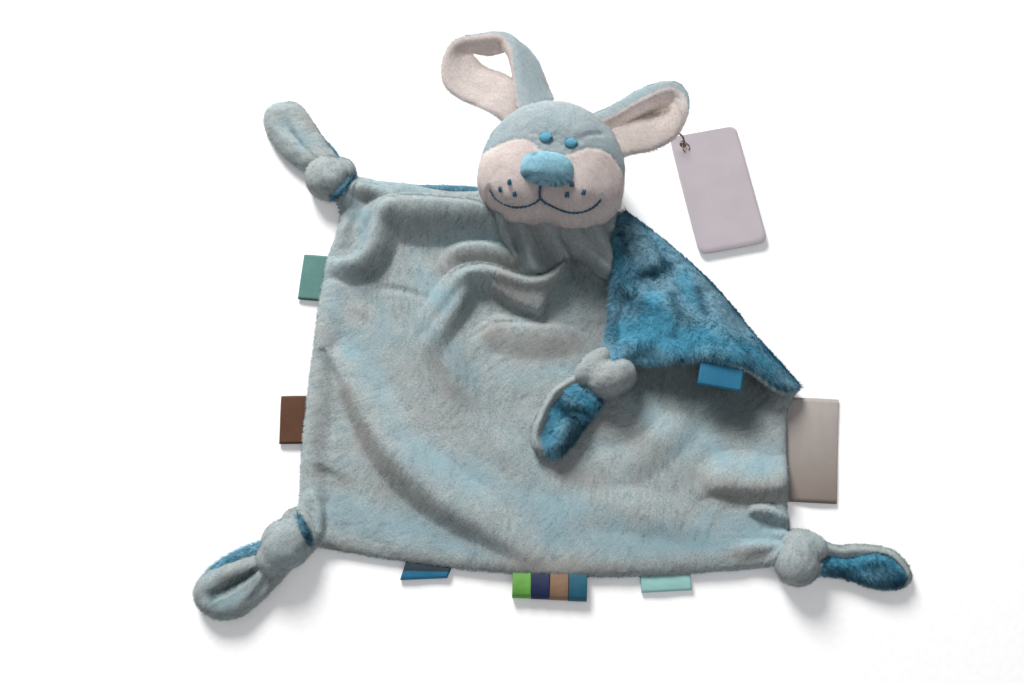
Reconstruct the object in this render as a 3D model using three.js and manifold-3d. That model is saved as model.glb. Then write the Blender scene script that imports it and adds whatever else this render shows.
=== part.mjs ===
// Knotted comforter blanket with a stuffed animal head, lying face up.
// Millimetres. +X is the photograph's right, +Y is towards the head, +Z is up.
// The origin is the centre of the blanket's underside.
import * as THREE from 'three';
import { mergeVertices } from 'three/addons/utils/BufferGeometryUtils.js';
import Module from 'manifold-3d';

const wasm = await Module();
wasm.setup();
const object = new THREE.Group();
object.name = 'pacifier_lovey';

// Driving dimensions
const GAP = 0.3;            // clearance between neighbouring pieces
const PLY = 2.6;            // thickness of one plush panel
const CLOTH = 2 * PLY + GAP; // both panels of the blanket
const FLAT = 0.5;           // how deep a form is cut flat where it stands

// Blanket outline: corners at the knots, edges bowed between them
const KNOT_UL = [-122, 107];
const KNOT_LL = [-131, -88];
const KNOT_LR = [123, -98];
const KNOT_FLAP = [27, -4];
const FOLD_A = [40, 89];    // the folded corner's crease, from the head
const FOLD_B = [129, -10];  // to the right edge
const EDGE_TOP = [KNOT_UL, [-108, 110], [-94, 107], [-61, 103], [0, 99], FOLD_A];
const EDGE_FOLD = [FOLD_A, [66, 67], [90, 41], [110, 14], FOLD_B];
const EDGE_RIGHT = [FOLD_B, [126, -32], [124, -60], [121, -84], KNOT_LR];
const EDGE_BOTTOM = [KNOT_LL, [-115, -92], [-77, -98], [-27, -104], [23, -106], [98, -102], KNOT_LR];
const EDGE_LEFT = [KNOT_LL, [-129, -70], [-129, -45], [-126, 11], [-121, 60], [-115, 88], KNOT_UL];
const EDGE_FLAP_LEFT = [FOLD_A, [34, 76], [31, 44], [29, 20], KNOT_FLAP];
const EDGE_FLAP_LOW = [FOLD_B, [118, -13], [100, -4], [80, 1], [55, 0], [38, 0], KNOT_FLAP];

// Knots: plan radii, height, and how high each stands
const KNOT = {
  upper_left: { at: KNOT_UL, r: 10.5, tall: 17, base: 0 },
  lower_left: { at: KNOT_LL, r: 11.5, tall: 19, base: 0 },
  lower_right: { at: KNOT_LR, r: 11.5, tall: 18, base: 0 },
  folded: { at: KNOT_FLAP, r: 13.5, tall: 20, base: CLOTH + GAP },
};
// Tails: heading, reach from the knot's centre, width to the left and right of the heading
const TAIL = {
  upper_left: { deg: 126, reach: 53, left: 14.5, right: 13 },
  lower_left: { deg: 216, reach: 54, left: 16, right: 11 },
  lower_right: { deg: -3, reach: 55, left: 9.5, right: 10.5 },
  folded: { deg: 233, reach: 57, left: 9, right: 15 },
};
const TAIL_PLY = 4.2;

// Head, in a frame of its own that is turned clockwise by ROLL
const HEAD_AT = [0.5, 104.5];
const ROLL = -9;
const HEAD_HALF_W = 38;
const HEAD_UP = 36;
const HEAD_DOWN = 33;
const HEAD_MID_Z = 25;      // height of the widest ring
const HEAD_FACE = 26;       // from there to the face
const SKIN = 2.2;           // thickness of the head's plush
const SEAM_Z = 19;          // seam between the back and the face
const SEAM_Y = 1.5;         // seam between crown and muzzle

// Ear loops: band thicknesses and height
const EAR_OUTER = 6;
const EAR_LINING = 4.4;
const EAR_TALL = 24;
const EAR_BASE = 3.2;

// Ribbons and label
const RIBBON_W = 25;
const RIBBON_T = 2.4;
const LOOP_W = 9;           // each of the four narrow loops
const LABEL_W = 53;

// Hang card
const CARD_W = 38;
const CARD_L = 71;
const CARD_T = 1.2;
const CARD_Z = 1.7;
const CARD_HOLE_R = 2;
const STRING_R = 0.7;
const CARD_HOLE = [74.4, 130.3];
const CARD_DEG = 11;

// Small maths
const rad = (d) => (d * Math.PI) / 180;
const mix = (a, b, t) => a + (b - a) * t;
const hypot = Math.hypot;
const clamp = (v, lo, hi) => Math.min(Math.max(v, lo), hi);

function smoothLine(points) {
  const c = new THREE.CatmullRomCurve3(
    points.map((p) => new THREE.Vector3(p[0], p[1], p[2] || 0)), false, 'centripetal');
  return (t) => {
    const v = c.getPointAt(clamp(t, 0, 1));
    return [v.x, v.y, v.z];
  };
}

function toSolid(geometry) {
  const bare = geometry.clone();
  for (const key of Object.keys(bare.attributes)) {
    if (key !== 'position') bare.deleteAttribute(key);
  }
  const g = mergeVertices(bare, 1e-4);
  return new wasm.Manifold(new wasm.Mesh({
    numProp: 3,
    vertProperties: new Float32Array(g.attributes.position.array),
    triVerts: new Uint32Array(g.index.array),
  }));
}

function fromSolid(solid) {
  const m = solid.getMesh();
  const g = new THREE.BufferGeometry();
  g.setAttribute('position', new THREE.BufferAttribute(new Float32Array(m.vertProperties), 3));
  g.setIndex(new THREE.BufferAttribute(new Uint32Array(m.triVerts), 1));
  return g;
}

function indexed(points, faces) {
  let volume = 0;
  for (const [a, b, c] of faces) {
    const [p, q, r] = [points[a], points[b], points[c]];
    volume += p[0] * (q[1] * r[2] - q[2] * r[1]);
    volume += p[1] * (q[2] * r[0] - q[0] * r[2]);
    volume += p[2] * (q[0] * r[1] - q[1] * r[0]);
  }
  const turned = volume < 0 ? faces.map(([a, b, c]) => [a, c, b]) : faces;
  const g = new THREE.BufferGeometry();
  g.setAttribute('position', new THREE.BufferAttribute(new Float32Array(points.flat()), 3));
  g.setIndex(turned.flat());
  return g;
}

function add(geometry, name, colour) {
  const g = geometry.isBufferGeometry ? geometry : fromSolid(geometry);
  g.computeVertexNormals();
  const mesh = new THREE.Mesh(g, new THREE.MeshStandardMaterial({ color: colour, roughness: 0.9 }));
  mesh.name = name;
  object.add(mesh);
  return mesh;
}

// A closed body through rings that each have the same number of points
function loft(rings) {
  const n = rings[0].length;
  const points = rings.flat();
  const faces = [];
  for (let i = 0; i + 1 < rings.length; i += 1) {
    for (let k = 0; k < n; k += 1) {
      const a = i * n + k;
      const b = i * n + ((k + 1) % n);
      faces.push([a, b, b + n], [a, b + n, a + n]);
    }
  }
  for (const end of [0, rings.length - 1]) {
    const ring = rings[end];
    const mid = [0, 1, 2].map((j) => ring.reduce((s, p) => s + p[j], 0) / n);
    points.push(mid);
    for (let k = 0; k < n; k += 1) {
      const a = end * n + k;
      const b = end * n + ((k + 1) % n);
      faces.push(end === 0 ? [points.length - 1, b, a] : [points.length - 1, a, b]);
    }
  }
  return indexed(points, faces);
}

// A patch between four edges, as plan points
function patch(low, high, left, right) {
  const c00 = low(0);
  const c10 = low(1);
  const c01 = high(0);
  const c11 = high(1);
  return (u, v) => [0, 1].map((j) => {
    const ruled = mix(low(u)[j], high(u)[j], v) + mix(left(v)[j], right(v)[j], u);
    return ruled - mix(mix(c00[j], c10[j], u), mix(c01[j], c11[j], u), v);
  });
}

// A cloth between two heights over a patch
function cloth(at, nu, nv, low, high) {
  const points = [];
  const faces = [];
  const layer = (nu + 1) * (nv + 1);
  for (const height of [low, high]) {
    for (let j = 0; j <= nv; j += 1) {
      for (let i = 0; i <= nu; i += 1) {
        const [x, y] = at(i / nu, j / nv);
        points.push([x, y, height(x, y)]);
      }
    }
  }
  const id = (i, j, k) => k * layer + j * (nu + 1) + i;
  for (let j = 0; j < nv; j += 1) {
    for (let i = 0; i < nu; i += 1) {
      faces.push([id(i, j, 1), id(i + 1, j, 1), id(i + 1, j + 1, 1)]);
      faces.push([id(i, j, 1), id(i + 1, j + 1, 1), id(i, j + 1, 1)]);
      faces.push([id(i, j, 0), id(i + 1, j + 1, 0), id(i + 1, j, 0)]);
      faces.push([id(i, j, 0), id(i, j + 1, 0), id(i + 1, j + 1, 0)]);
    }
  }
  for (let i = 0; i < nu; i += 1) {
    faces.push([id(i, 0, 0), id(i + 1, 0, 0), id(i + 1, 0, 1)]);
    faces.push([id(i, 0, 0), id(i + 1, 0, 1), id(i, 0, 1)]);
    faces.push([id(i, nv, 0), id(i + 1, nv, 1), id(i + 1, nv, 0)]);
    faces.push([id(i, nv, 0), id(i, nv, 1), id(i + 1, nv, 1)]);
  }
  for (let j = 0; j < nv; j += 1) {
    faces.push([id(0, j, 0), id(0, j + 1, 1), id(0, j + 1, 0)]);
    faces.push([id(0, j, 0), id(0, j, 1), id(0, j + 1, 1)]);
    faces.push([id(nu, j, 0), id(nu, j + 1, 0), id(nu, j + 1, 1)]);
    faces.push([id(nu, j, 0), id(nu, j + 1, 1), id(nu, j, 1)]);
  }
  return indexed(points, faces);
}

// Folds of the blanket: lines of x, y and rise, each with its half width
const FOLDS = [
  { half: 13, line: [[-108, 103, 4], [-90, 92, 7], [-70, 91, 7], [-49, 89, 7], [-34, 84, 5]] },
  { half: 9, line: [[-90, 92, 5], [-95, 75, 5], [-103, 61, 4], [-114, 58, 0]] },
  { half: 9, line: [[-60, 58, 0], [-51, 65, 3.5], [-35, 69, 4], [-20, 63, 0]] },
  { half: 12, line: [[-56, 30, 0], [-51, 44, 6], [-40, 53, 8.5], [-20, 47, 8.5], [0, 47, 7.5], [14, 54, 4]] },
  { half: 12, line: [[70, -60, 0], [88, -54, 4.5], [104, -52, 5], [119, -60, 3]] },
  { half: 9, line: [[98, -73, 0], [110, -71, 3.5], [119, -74, 3]] },
  { half: 9, line: [[-116, -62, 0], [-116, -76, 4], [-124, -84, 5]] },
  { half: 14, line: [[-60, -40, 0], [-25, -68, 1.6], [30, -84, 0]] },
  { half: 14, line: [[-118, 20, 0], [-100, -10, 1.6], [-80, -50, 0]] },
];
// The cloth bunches up where it runs into a knot
const BUNCH_REACH = 26;
const BUNCH_RISE = 5.5;

for (const fold of FOLDS) {
  const at = smoothLine(fold.line);
  fold.path = Array.from({ length: 15 }, (_, i) => at(i / 14));
}

function nearLine(line, x, y) {
  let best = [1e9, 0];
  for (let i = 0; i + 1 < line.length; i += 1) {
    const [a, b] = [line[i], line[i + 1]];
    const [dx, dy] = [b[0] - a[0], b[1] - a[1]];
    const t = clamp(((x - a[0]) * dx + (y - a[1]) * dy) / (dx * dx + dy * dy), 0, 1);
    const d = hypot(x - a[0] - t * dx, y - a[1] - t * dy);
    if (d < best[0]) best = [d, mix(a[2], b[2], t)];
  }
  return best;
}

function bell(d, half) {
  return d >= half ? 0 : 0.5 + 0.5 * Math.cos((Math.PI * d) / half);
}

function lift(x, y) {
  let sum = 0;
  for (const fold of FOLDS) {
    const [d, rise] = nearLine(fold.path, x, y);
    sum += (rise * bell(d, fold.half)) ** 3;
  }
  for (const at of [KNOT_UL, KNOT_LL, KNOT_LR]) {
    sum += (BUNCH_RISE * bell(hypot(x - at[0], y - at[1]), BUNCH_REACH)) ** 3;
  }
  return Math.cbrt(sum);
}

// The folded corner lofts away from its crease and climbs into its knot
const FLAP_LOFT = 3.5;
const [CREASE_X, CREASE_Y] = [FOLD_B[0] - FOLD_A[0], FOLD_B[1] - FOLD_A[1]];
const CREASE_LEN = hypot(CREASE_X, CREASE_Y);

function fromCrease(x, y) {
  return ((FOLD_A[1] - y) * CREASE_X - (FOLD_A[0] - x) * CREASE_Y) / CREASE_LEN;
}

function flapLow(x, y) {
  const s = fromCrease(x, y);
  const body = FLAP_LOFT * clamp(s / 22, 0, 1) ** 2;
  const ray = Math.atan2(y - KNOT_FLAP[1], x - KNOT_FLAP[0]);
  const pleat = 1.6 * clamp(s / 30, 0, 1) * (0.5 + 0.5 * Math.cos(7 * ray));
  const bunch = 4.5 * bell(hypot(x - KNOT_FLAP[0], y - KNOT_FLAP[1]), 30);
  return CLOTH + GAP + lift(x, y) + body + pleat + bunch;
}

// Knots: a fat wrapped lump, cut flat below
function knotGeometry(spec, grow) {
  const sphere = new THREE.SphereGeometry(1, 14, 8);
  const p = sphere.attributes.position;
  const half = spec.tall / 2;
  for (let i = 0; i < p.count; i += 1) {
    const [a, b, c] = [p.getX(i), p.getZ(i), p.getY(i)];
    const turn = Math.atan2(b, a);
    const wrap = 1 - 0.05 * (0.5 + 0.5 * Math.cos(3 * turn + 4 * c));
    const z = spec.base - FLAT + half + c * (half + FLAT / 2 + grow);
    p.setXYZ(i, spec.at[0] + a * (spec.r * wrap + grow), spec.at[1] - b * (spec.r * wrap + grow), z);
  }
  return sphere;
}

function slab(x0, y0, z0, x1, y1, z1) {
  const g = new THREE.BoxGeometry(x1 - x0, y1 - y0, z1 - z0);
  g.translate((x0 + x1) / 2, (y0 + y1) / 2, (z0 + z1) / 2);
  return g;
}

function below(z) {
  return toSolid(slab(-300, -300, z - 200, 300, 300, z));
}

const knotSolid = {};
const knotGrown = {};
for (const [key, spec] of Object.entries(KNOT)) {
  knotSolid[key] = toSolid(knotGeometry(spec, 0)).subtract(below(spec.base));
  knotGrown[key] = toSolid(knotGeometry(spec, GAP));
}

// Blanket panels
const top = smoothLine(EDGE_TOP);
const right = (() => {
  const fold = smoothLine(EDGE_FOLD);
  const side = smoothLine(EDGE_RIGHT);
  const share = 0.4;
  return (t) => (t < share ? side(1 - t / share) : fold(1 - (t - share) / (1 - share)));
})();
const blanketAt = patch(smoothLine(EDGE_BOTTOM), top, smoothLine(EDGE_LEFT), right);
const BACK_PEEK = 2.6;

function topStrip() {
  const inner = [];
  for (let i = 0; i <= 12; i += 1) {
    const [x, y] = top(mix(0.2, 0.62, i / 12));
    inner.push(new THREE.Vector2(x, y + 0.4 - (BACK_PEEK + 0.4) * bell(x + 57, 26)));
  }
  const shape = new THREE.Shape([...inner, new THREE.Vector2(0, 115), new THREE.Vector2(-95, 115)]);
  return toSolid(new THREE.ExtrudeGeometry(shape, { depth: 60, bevelEnabled: false }));
}

const NU = 24;
const NV = 19;
let back = toSolid(cloth(blanketAt, NU, NV, (x, y) => lift(x, y), (x, y) => lift(x, y) + PLY));
let front = toSolid(cloth(blanketAt, NU, NV,
  (x, y) => lift(x, y) + PLY + GAP, (x, y) => lift(x, y) + CLOTH)).subtract(topStrip());
for (const key of ['upper_left', 'lower_left', 'lower_right']) {
  back = back.subtract(knotGrown[key]);
  front = front.subtract(knotGrown[key]);
}
add(back, 'blanket_back_panel', 0x4a9fc4);
add(front, 'blanket_front_panel', 0xbfd6de);

// Folded corner
const creaseAt = smoothLine(EDGE_FOLD);
const flapAt = patch((u) => creaseAt(u), () => KNOT_FLAP, smoothLine(EDGE_FLAP_LEFT), smoothLine(EDGE_FLAP_LOW));
const HINGE_Z = CLOTH + GAP / 2;
const flapTip = 0.97;
const flapPlan = (u, v) => flapAt(mix(0.035, 1, u), v * flapTip);
let flapUnder = toSolid(cloth(flapPlan, 12, 11, flapLow, (x, y) => flapLow(x, y) + PLY));
let flapOver = toSolid(cloth(flapPlan, 12, 11,
  (x, y) => flapLow(x, y) + PLY + GAP, (x, y) => flapLow(x, y) + CLOTH));
flapUnder = flapUnder.subtract(knotGrown.folded);
flapOver = flapOver.subtract(knotGrown.folded);
add(flapUnder, 'folded_corner_under_ply', 0xbfd6de);
add(flapOver, 'folded_corner_top_ply', 0x4a9fc4);

const knotColour = { upper_left: 0xb5d2dc, lower_left: 0x9cc6d8, lower_right: 0x8fc0d6, folded: 0x4a9fc4 };
for (const key of Object.keys(KNOT)) {
  add(knotSolid[key], `${key}_knot`, knotColour[key]);
}

// Tails: two plies, each a flattened sleeve that ends round
function tailPly(key, z0, z1, grow) {
  const spec = TAIL[key];
  const knot = KNOT[key];
  const [cs, sn] = [Math.cos(rad(spec.deg)), Math.sin(rad(spec.deg))];
  const start = knot.r * 0.75;
  const rings = [];
  const stations = 7;
  const around = 10;
  for (let i = 0; i <= stations; i += 1) {
    const t = 1 - (1 - i / stations) ** 1.25;
    const along = mix(start, spec.reach + grow, t);
    const close = (spec.reach + grow - along) / 10;
    const tip = close < 1 ? Math.sqrt(clamp(1 - (1 - close) ** 2, 0.08, 1)) : 1;
    const neck = mix(0.72, 1, clamp((along - start) / 12, 0, 1));
    const [wl, wr] = [(spec.left + grow) * tip * neck, (spec.right + grow) * tip * neck];
    const ring = [];
    for (let k = 0; k < around; k += 1) {
      const a = (2 * Math.PI * k) / around;
      const side = Math.sign(Math.cos(a)) * Math.abs(Math.cos(a)) ** 0.6;
      const rise = Math.sign(Math.sin(a)) * Math.abs(Math.sin(a)) ** 0.6;
      const across = side > 0 ? side * wl : side * wr;
      const z = (z0 + z1) / 2 + (rise * (z1 - z0)) / 2;
      ring.push([knot.at[0] + along * cs - across * sn, knot.at[1] + along * sn + across * cs, z]);
    }
    rings.push(ring);
  }
  return toSolid(loft(rings));
}

function pillar(at, radius, z0, z1, sides) {
  const g = new THREE.CylinderGeometry(radius, radius, z1 - z0, sides);
  g.rotateX(Math.PI / 2);
  g.translate(at[0], at[1], (z0 + z1) / 2);
  return toSolid(g);
}

const tailColour = {
  upper_left: [0x9cc9dc, 0xc9dadf], lower_left: [0x7fb9d2, 0xc9dadf],
  lower_right: [0xc9dadf, 0x6fb3d0], folded: [0xc9dadf, 0x4a9fc4],
};
for (const key of Object.keys(TAIL)) {
  const knot = KNOT[key];
  const round = pillar(knot.at, knot.r + GAP + 0.15, -5, 60, 32);
  const z = knot.base;
  const under = tailPly(key, z, z + TAIL_PLY, 0.8).subtract(round);
  const over = tailPly(key, z + TAIL_PLY + GAP, z + 2 * TAIL_PLY + GAP, 0).subtract(round);
  add(under, `${key}_tail_under_ply`, tailColour[key][0]);
  add(over, `${key}_tail_top_ply`, tailColour[key][1]);
}

// Head
const headTurn = new THREE.Matrix4().makeRotationZ(rad(ROLL));
headTurn.setPosition(HEAD_AT[0], HEAD_AT[1], 0);

// A point of the head for a unit direction, in the head's own frame
const FULL = 0.8;           // under 1, the form is fuller than an ellipsoid
function headPoint(a, b, c, inset) {
  const width = (HEAD_HALF_W - inset) * (1 - 0.16 * b);
  const notch = b < 0 ? 3.4 * Math.exp(-((a / 0.2) ** 2)) * b * b * (1 - Math.abs(c)) : 0;
  const height = b > 0 ? HEAD_UP - inset : HEAD_DOWN - inset - notch;
  const bulge = Math.exp(-(((Math.abs(a) - 0.45) / 0.3) ** 2));
  const cheeks = c > 0 ? 3 * c * bulge * clamp(-b * 2, 0, 1) : 0;
  const depth = c > 0 ? HEAD_FACE - inset : HEAD_MID_Z + FLAT - inset;
  const full = (t) => Math.sign(t) * Math.abs(t) ** FULL;
  return [a * width, full(b) * height, HEAD_MID_Z + full(c) * depth + cheeks];
}

function headForm(inset, wide, tall) {
  const g = new THREE.SphereGeometry(1, wide, tall);
  g.rotateX(Math.PI / 2);
  const p = g.attributes.position;
  for (let i = 0; i < p.count; i += 1) {
    p.setXYZ(i, ...headPoint(p.getX(i), p.getY(i), p.getZ(i), inset));
  }
  g.applyMatrix4(headTurn);
  return toSolid(g);
}

// The place on the face over a point of the head's frame, and the outward direction there
function onFace(x, y) {
  const height = y > 0 ? HEAD_UP : HEAD_DOWN;
  const point = (px, py) => {
    const b = Math.sign(py) * clamp(Math.abs(py) / height, 0, 0.985) ** (1 / FULL);
    const a = px / (HEAD_HALF_W * (1 - 0.16 * b));
    const c = Math.sqrt(Math.max(1 - a * a - b * b, 0.02));
    return new THREE.Vector3(...headPoint(a, b, c, 0));
  };
  const at = point(x, y);
  const along = point(x + 1, y).sub(point(x - 1, y));
  const across = point(x, y + 1).sub(point(x, y - 1));
  return { at, normal: along.cross(across).normalize() };
}

function headBox(x0, y0, z0, x1, y1, z1) {
  const g = slab(x0, y0, z0, x1, y1, z1);
  g.applyMatrix4(headTurn);
  return toSolid(g);
}

// The head lies partly on the blanket, so its underside has a step there
const HEAD_LIFT = 0.4;
const blanketUnderHead = toSolid(slab(-200, -200, -50, 200, 103.4, CLOTH + GAP));
const foldsUnderHead = toSolid(cloth(blanketAt, NU, NV, () => -20,
  (x, y) => lift(x, y) + CLOTH + GAP));
const rest = below(HEAD_LIFT).add(blanketUnderHead).add(foldsUnderHead);
const headWhole = headForm(0, 26, 16).subtract(rest);
const headHollow = headForm(SKIN, 18, 12);
const stuffing = headForm(SKIN + GAP, 18, 12).subtract(below(CLOTH + GAP + SKIN));
const hollow = headHollow.subtract(below(CLOTH + SKIN));
const skin = headWhole.subtract(hollow);
const half = GAP / 2;
const faceRegion = headBox(-80, -80, SEAM_Z + half, 80, 80, 120);
const backRegion = headBox(-80, -80, -20, 80, 80, SEAM_Z - half);
const crownRegion = headBox(-80, SEAM_Y + half, -20, 80, 80, 120);
const muzzleRegion = headBox(-80, -80, -20, 80, SEAM_Y - half, 120);
add(stuffing, 'head_stuffing', 0xf2f2f0);
add(skin.intersect(faceRegion).intersect(crownRegion), 'head_crown_panel', 0xafd0da);
add(skin.intersect(faceRegion).intersect(muzzleRegion), 'head_muzzle_panel', 0xded4d0);
add(skin.intersect(backRegion), 'head_back_panel', 0xafd0da);
const headGrown = headForm(-GAP, 26, 16);

// A pad that stands on the face
function padOnFace(x, y, halfW, halfH, sink, rise, wide, tall) {
  const { at, normal } = onFace(x, y);
  const g = new THREE.SphereGeometry(1, wide, tall);
  g.rotateX(Math.PI / 2);
  g.scale(halfW, halfH, rise);
  const turn = new THREE.Quaternion().setFromUnitVectors(new THREE.Vector3(0, 0, 1), normal);
  g.applyQuaternion(turn);
  g.translate(at.x + normal.x * sink, at.y + normal.y * sink, at.z + normal.z * sink);
  g.applyMatrix4(headTurn);
  return toSolid(g).subtract(headGrown);
}
const NOSE_AT = [-1.8, -12.5];
add(padOnFace(NOSE_AT[0], NOSE_AT[1], 13.2, 9.5, 0.5, 8, 16, 10), 'nose', 0x6fb0cf);
add(padOnFace(-5.1, 5.2, 3.4, 3, 0.2, 2.4, 10, 6), 'eye_left', 0x3f97bb);
add(padOnFace(8, 4.4, 3.4, 3, 0.2, 2.4, 10, 6), 'eye_right', 0x3f97bb);

// Stitches: thread that lies on the face
const THREAD = 0.6;
function thread(points, count) {
  const at = smoothLine(points);
  const rings = [];
  for (let i = 0; i <= count; i += 1) {
    const t = i / count;
    const p = at(t);
    const { at: c, normal } = onFace(p[0], p[1]);
    const [q, o] = [at(Math.min(t + 0.02, 1)), at(Math.max(t - 0.02, 0))];
    const along = onFace(q[0], q[1]).at.sub(onFace(o[0], o[1]).at).normalize();
    const side = along.cross(normal).normalize();
    const ring = [];
    for (let k = 0; k < 5; k += 1) {
      const turn = (2 * Math.PI * k) / 5;
      const v = c.clone().addScaledVector(normal, GAP + THREAD * (1 + Math.sin(turn)));
      v.addScaledVector(side, THREAD * 1.4 * Math.cos(turn));
      ring.push([v.x, v.y, v.z]);
    }
    rings.push(ring);
  }
  const g = loft(rings);
  g.applyMatrix4(headTurn);
  return toSolid(g);
}
const MOUTH = [[-29, -22.5], [-25, -26.5], [-20, -29.6], [-14.5, -30.6], [-9, -30], [-5.4, -28],
  [-1, -28], [7, -29], [14, -28.6], [20, -26.4], [24.5, -23], [27, -19.5]];
const MOUTH_DROP = [[-4.4, -24.2], [-5.3, -28.3]];
const mouth = thread(MOUTH, 22).add(thread(MOUTH_DROP, 3));
add(mouth, 'mouth_stitching', 0x1e5f78);
const WHISKERS = [[-23, -22.5], [-18.6, -18.8], [-16, -23.5], [10, -21.5], [11.2, -16.4], [17.2, -19.5]];
WHISKERS.forEach(([x, y], i) => {
  add(padOnFace(x, y, 1, 1.3, 0.3, 1, 6, 4), `whisker_stitch_${i + 1}`, 0x1e5f78);
});

// Ear loops: a band on edge, bent round and sewn to the head at both ends.
// Each stop is x, y and the tilt that turns the lining upwards.
const EAR = {
  left: [[-16, 127, 6], [-23, 139, 12], [-30, 148, 28], [-38, 156, 36], [-46.5, 162.5, 28], [-53, 171.5, 14],
    [-49, 180, 5], [-38, 182.5, 2], [-27, 182, 0], [-19.5, 176, -8], [-12.5, 164, -12], [-8, 153, -8],
    [-5, 143, -4], [-1, 131, 0]],
  right: [[26, 133, 2], [36, 138.5, 6], [45, 143.5, 12], [54, 149, 14], [63, 152.5, 12], [68.3, 146.5, 8],
    [68.3, 137, 8], [62, 126.5, 11], [53, 122.3, 14], [45, 121.5, 10], [37, 119, 4], [28, 116, 0]],
};
const BAND_MID = (EAR_OUTER + GAP + EAR_LINING) / 2;

function earBand(stops, sign, shift, thick, tall, count) {
  const at = smoothLine(stops);
  const rings = [];
  for (let i = 0; i <= count; i += 1) {
    const t = i / count;
    const p = at(t);
    const q = at(Math.min(t + 0.015, 1));
    const o = at(Math.max(t - 0.015, 0));
    const [dx, dy] = [q[0] - o[0], q[1] - o[1]];
    const len = hypot(dx, dy);
    const inward = [(-dy / len) * sign, (dx / len) * sign];
    const tilt = rad(p[2]);
    const n = [inward[0] * Math.cos(tilt), inward[1] * Math.cos(tilt), Math.sin(tilt)];
    const h = [-inward[0] * Math.sin(tilt), -inward[1] * Math.sin(tilt), Math.cos(tilt)];
    const low = (EAR_TALL / 2) * Math.cos(tilt) + BAND_MID * Math.abs(Math.sin(tilt));
    const c = [p[0] + n[0] * shift, p[1] + n[1] * shift, EAR_BASE + low + n[2] * shift];
    const [a, b] = [thick / 2, tall / 2];
    const cut = Math.min(a, 2);
    const ring = [[a, b - cut], [a - cut * 0.6, b], [-a + cut * 0.6, b], [-a, b - cut],
      [-a, -b + cut], [-a + cut * 0.6, -b], [a - cut * 0.6, -b], [a, -b + cut]];
    rings.push(ring.map(([s, r]) => [0, 1, 2].map((j) => c[j] + n[j] * s + h[j] * r)));
  }
  return toSolid(loft(rings)).subtract(headGrown);
}
const earGrown = {};
for (const side of ['left', 'right']) {
  const outerShift = -BAND_MID + EAR_OUTER / 2;
  const liningShift = BAND_MID - EAR_LINING / 2 + 2 * GAP + 0.2;
  const outer = earBand(EAR[side], -1, outerShift, EAR_OUTER, EAR_TALL, 24);
  const wide = earBand(EAR[side], -1, outerShift, EAR_OUTER + 2 * GAP, EAR_TALL + 2 * GAP, 24);
  earGrown[side] = wide;
  const lining = earBand(EAR[side], -1, liningShift, EAR_LINING, EAR_TALL - 3, 24);
  add(outer, `ear_${side}_outer`, 0xb4d3dc);
  add(lining, `ear_${side}_lining`, 0xdfd6d2);
}

// Neck cloth: two lobes that fall from under the chin onto the blanket
function neckLobe(outline, topZ) {
  const shape = new THREE.Shape(outline.map((p) => new THREE.Vector2(p[0], p[1])));
  const g = new THREE.ExtrudeGeometry(shape, { depth: topZ, bevelEnabled: false });
  return toSolid(g);
}
const NECK_LEFT = [[-31, 84], [-25, 70], [-19, 61], [-14, 51], [-10, 50], [-5, 60], [2, 73], [2, 84]];
const NECK_RIGHT = [[2, 84], [2, 73], [10, 66], [19, 57], [28, 49], [32, 54], [33.5, 66], [34, 84]];
const neckCover = toSolid(cloth(patch((u) => [mix(-40, 42, u), 44], (u) => [mix(-40, 42, u), 90],
  (v) => [-40, mix(44, 90, v)], (v) => [42, mix(44, 90, v)]), 14, 8, () => 0,
  (x, y) => clamp(13 + (y - 50) * 0.42 + lift(x, y) * 0.4 - 0.004 * (x - 1) ** 2, 8, 40)));
const neck = neckLobe(NECK_LEFT, 60).add(neckLobe(NECK_RIGHT, 60))
  .intersect(neckCover).subtract(headGrown).subtract(foldsUnderHead);
add(neck, 'neck_gather', 0xdcd8d4);

// Ribbon tags: a folded ribbon that lies on the table, its sewn end at the edge
function tag(name, colour, mid, outDeg, width, length, z0, thick) {
  const rings = [];
  const stops = 6;
  for (let i = 0; i <= stops; i += 1) {
    const t = i / stops;
    const bulge = thick * mix(0.55, 1, Math.sin(Math.PI * clamp(t * 0.75, 0, 1)));
    const end = i === stops ? 0.45 : 1;
    const x = mix(0, length, t);
    rings.push([[x, -width / 2, z0], [x, width / 2, z0],
      [x, width / 2, z0 + bulge * end], [x, -width / 2, z0 + bulge * end]]);
  }
  const g = loft(rings);
  g.rotateZ(rad(outDeg));
  g.translate(mid[0], mid[1], 0);
  add(g, name, colour);
}
tag('tag_left_mint', 0x96dcd2, [-122.8, 51.5], 175, RIBBON_W, 12, 0.2, RIBBON_T);
tag('tag_left_brown', 0x966f50, [-129.4, -26], 181, RIBBON_W, 12, 0.2, RIBBON_T);
tag('tag_bottom_blue', 0x2d7daf, [-62.5, -100.3], 262, RIBBON_W - 2, 8, 0.2, RIBBON_T);
const LOOP_COLOURS = { green: 0x64be3c, navy: 0x193c7d, tan: 0xbe9b82, teal: 0x288296 };
Object.entries(LOOP_COLOURS).forEach(([shade, colour], i) => {
  const x = -16.2 + i * (LOOP_W + GAP);
  tag(`tag_bottom_${shade}`, colour, [x, -106.4], 268, LOOP_W, 10 + i * 0.5, 0.2, RIBBON_T + 2.6);
});
tag('tag_bottom_mint', 0xa0d7cd, [55.5, -105.6], 271, RIBBON_W, 7.5, 0.2, RIBBON_T);
tag('side_label', 0xcdc6be, [126.7, -42], -4, LABEL_W, 21, 0.2, 1.4);
tag('tag_folded_blue', 0x3c91be, [86, -1.8], 260, RIBBON_W - 3, 13, CLOTH + GAP, RIBBON_T);

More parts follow.
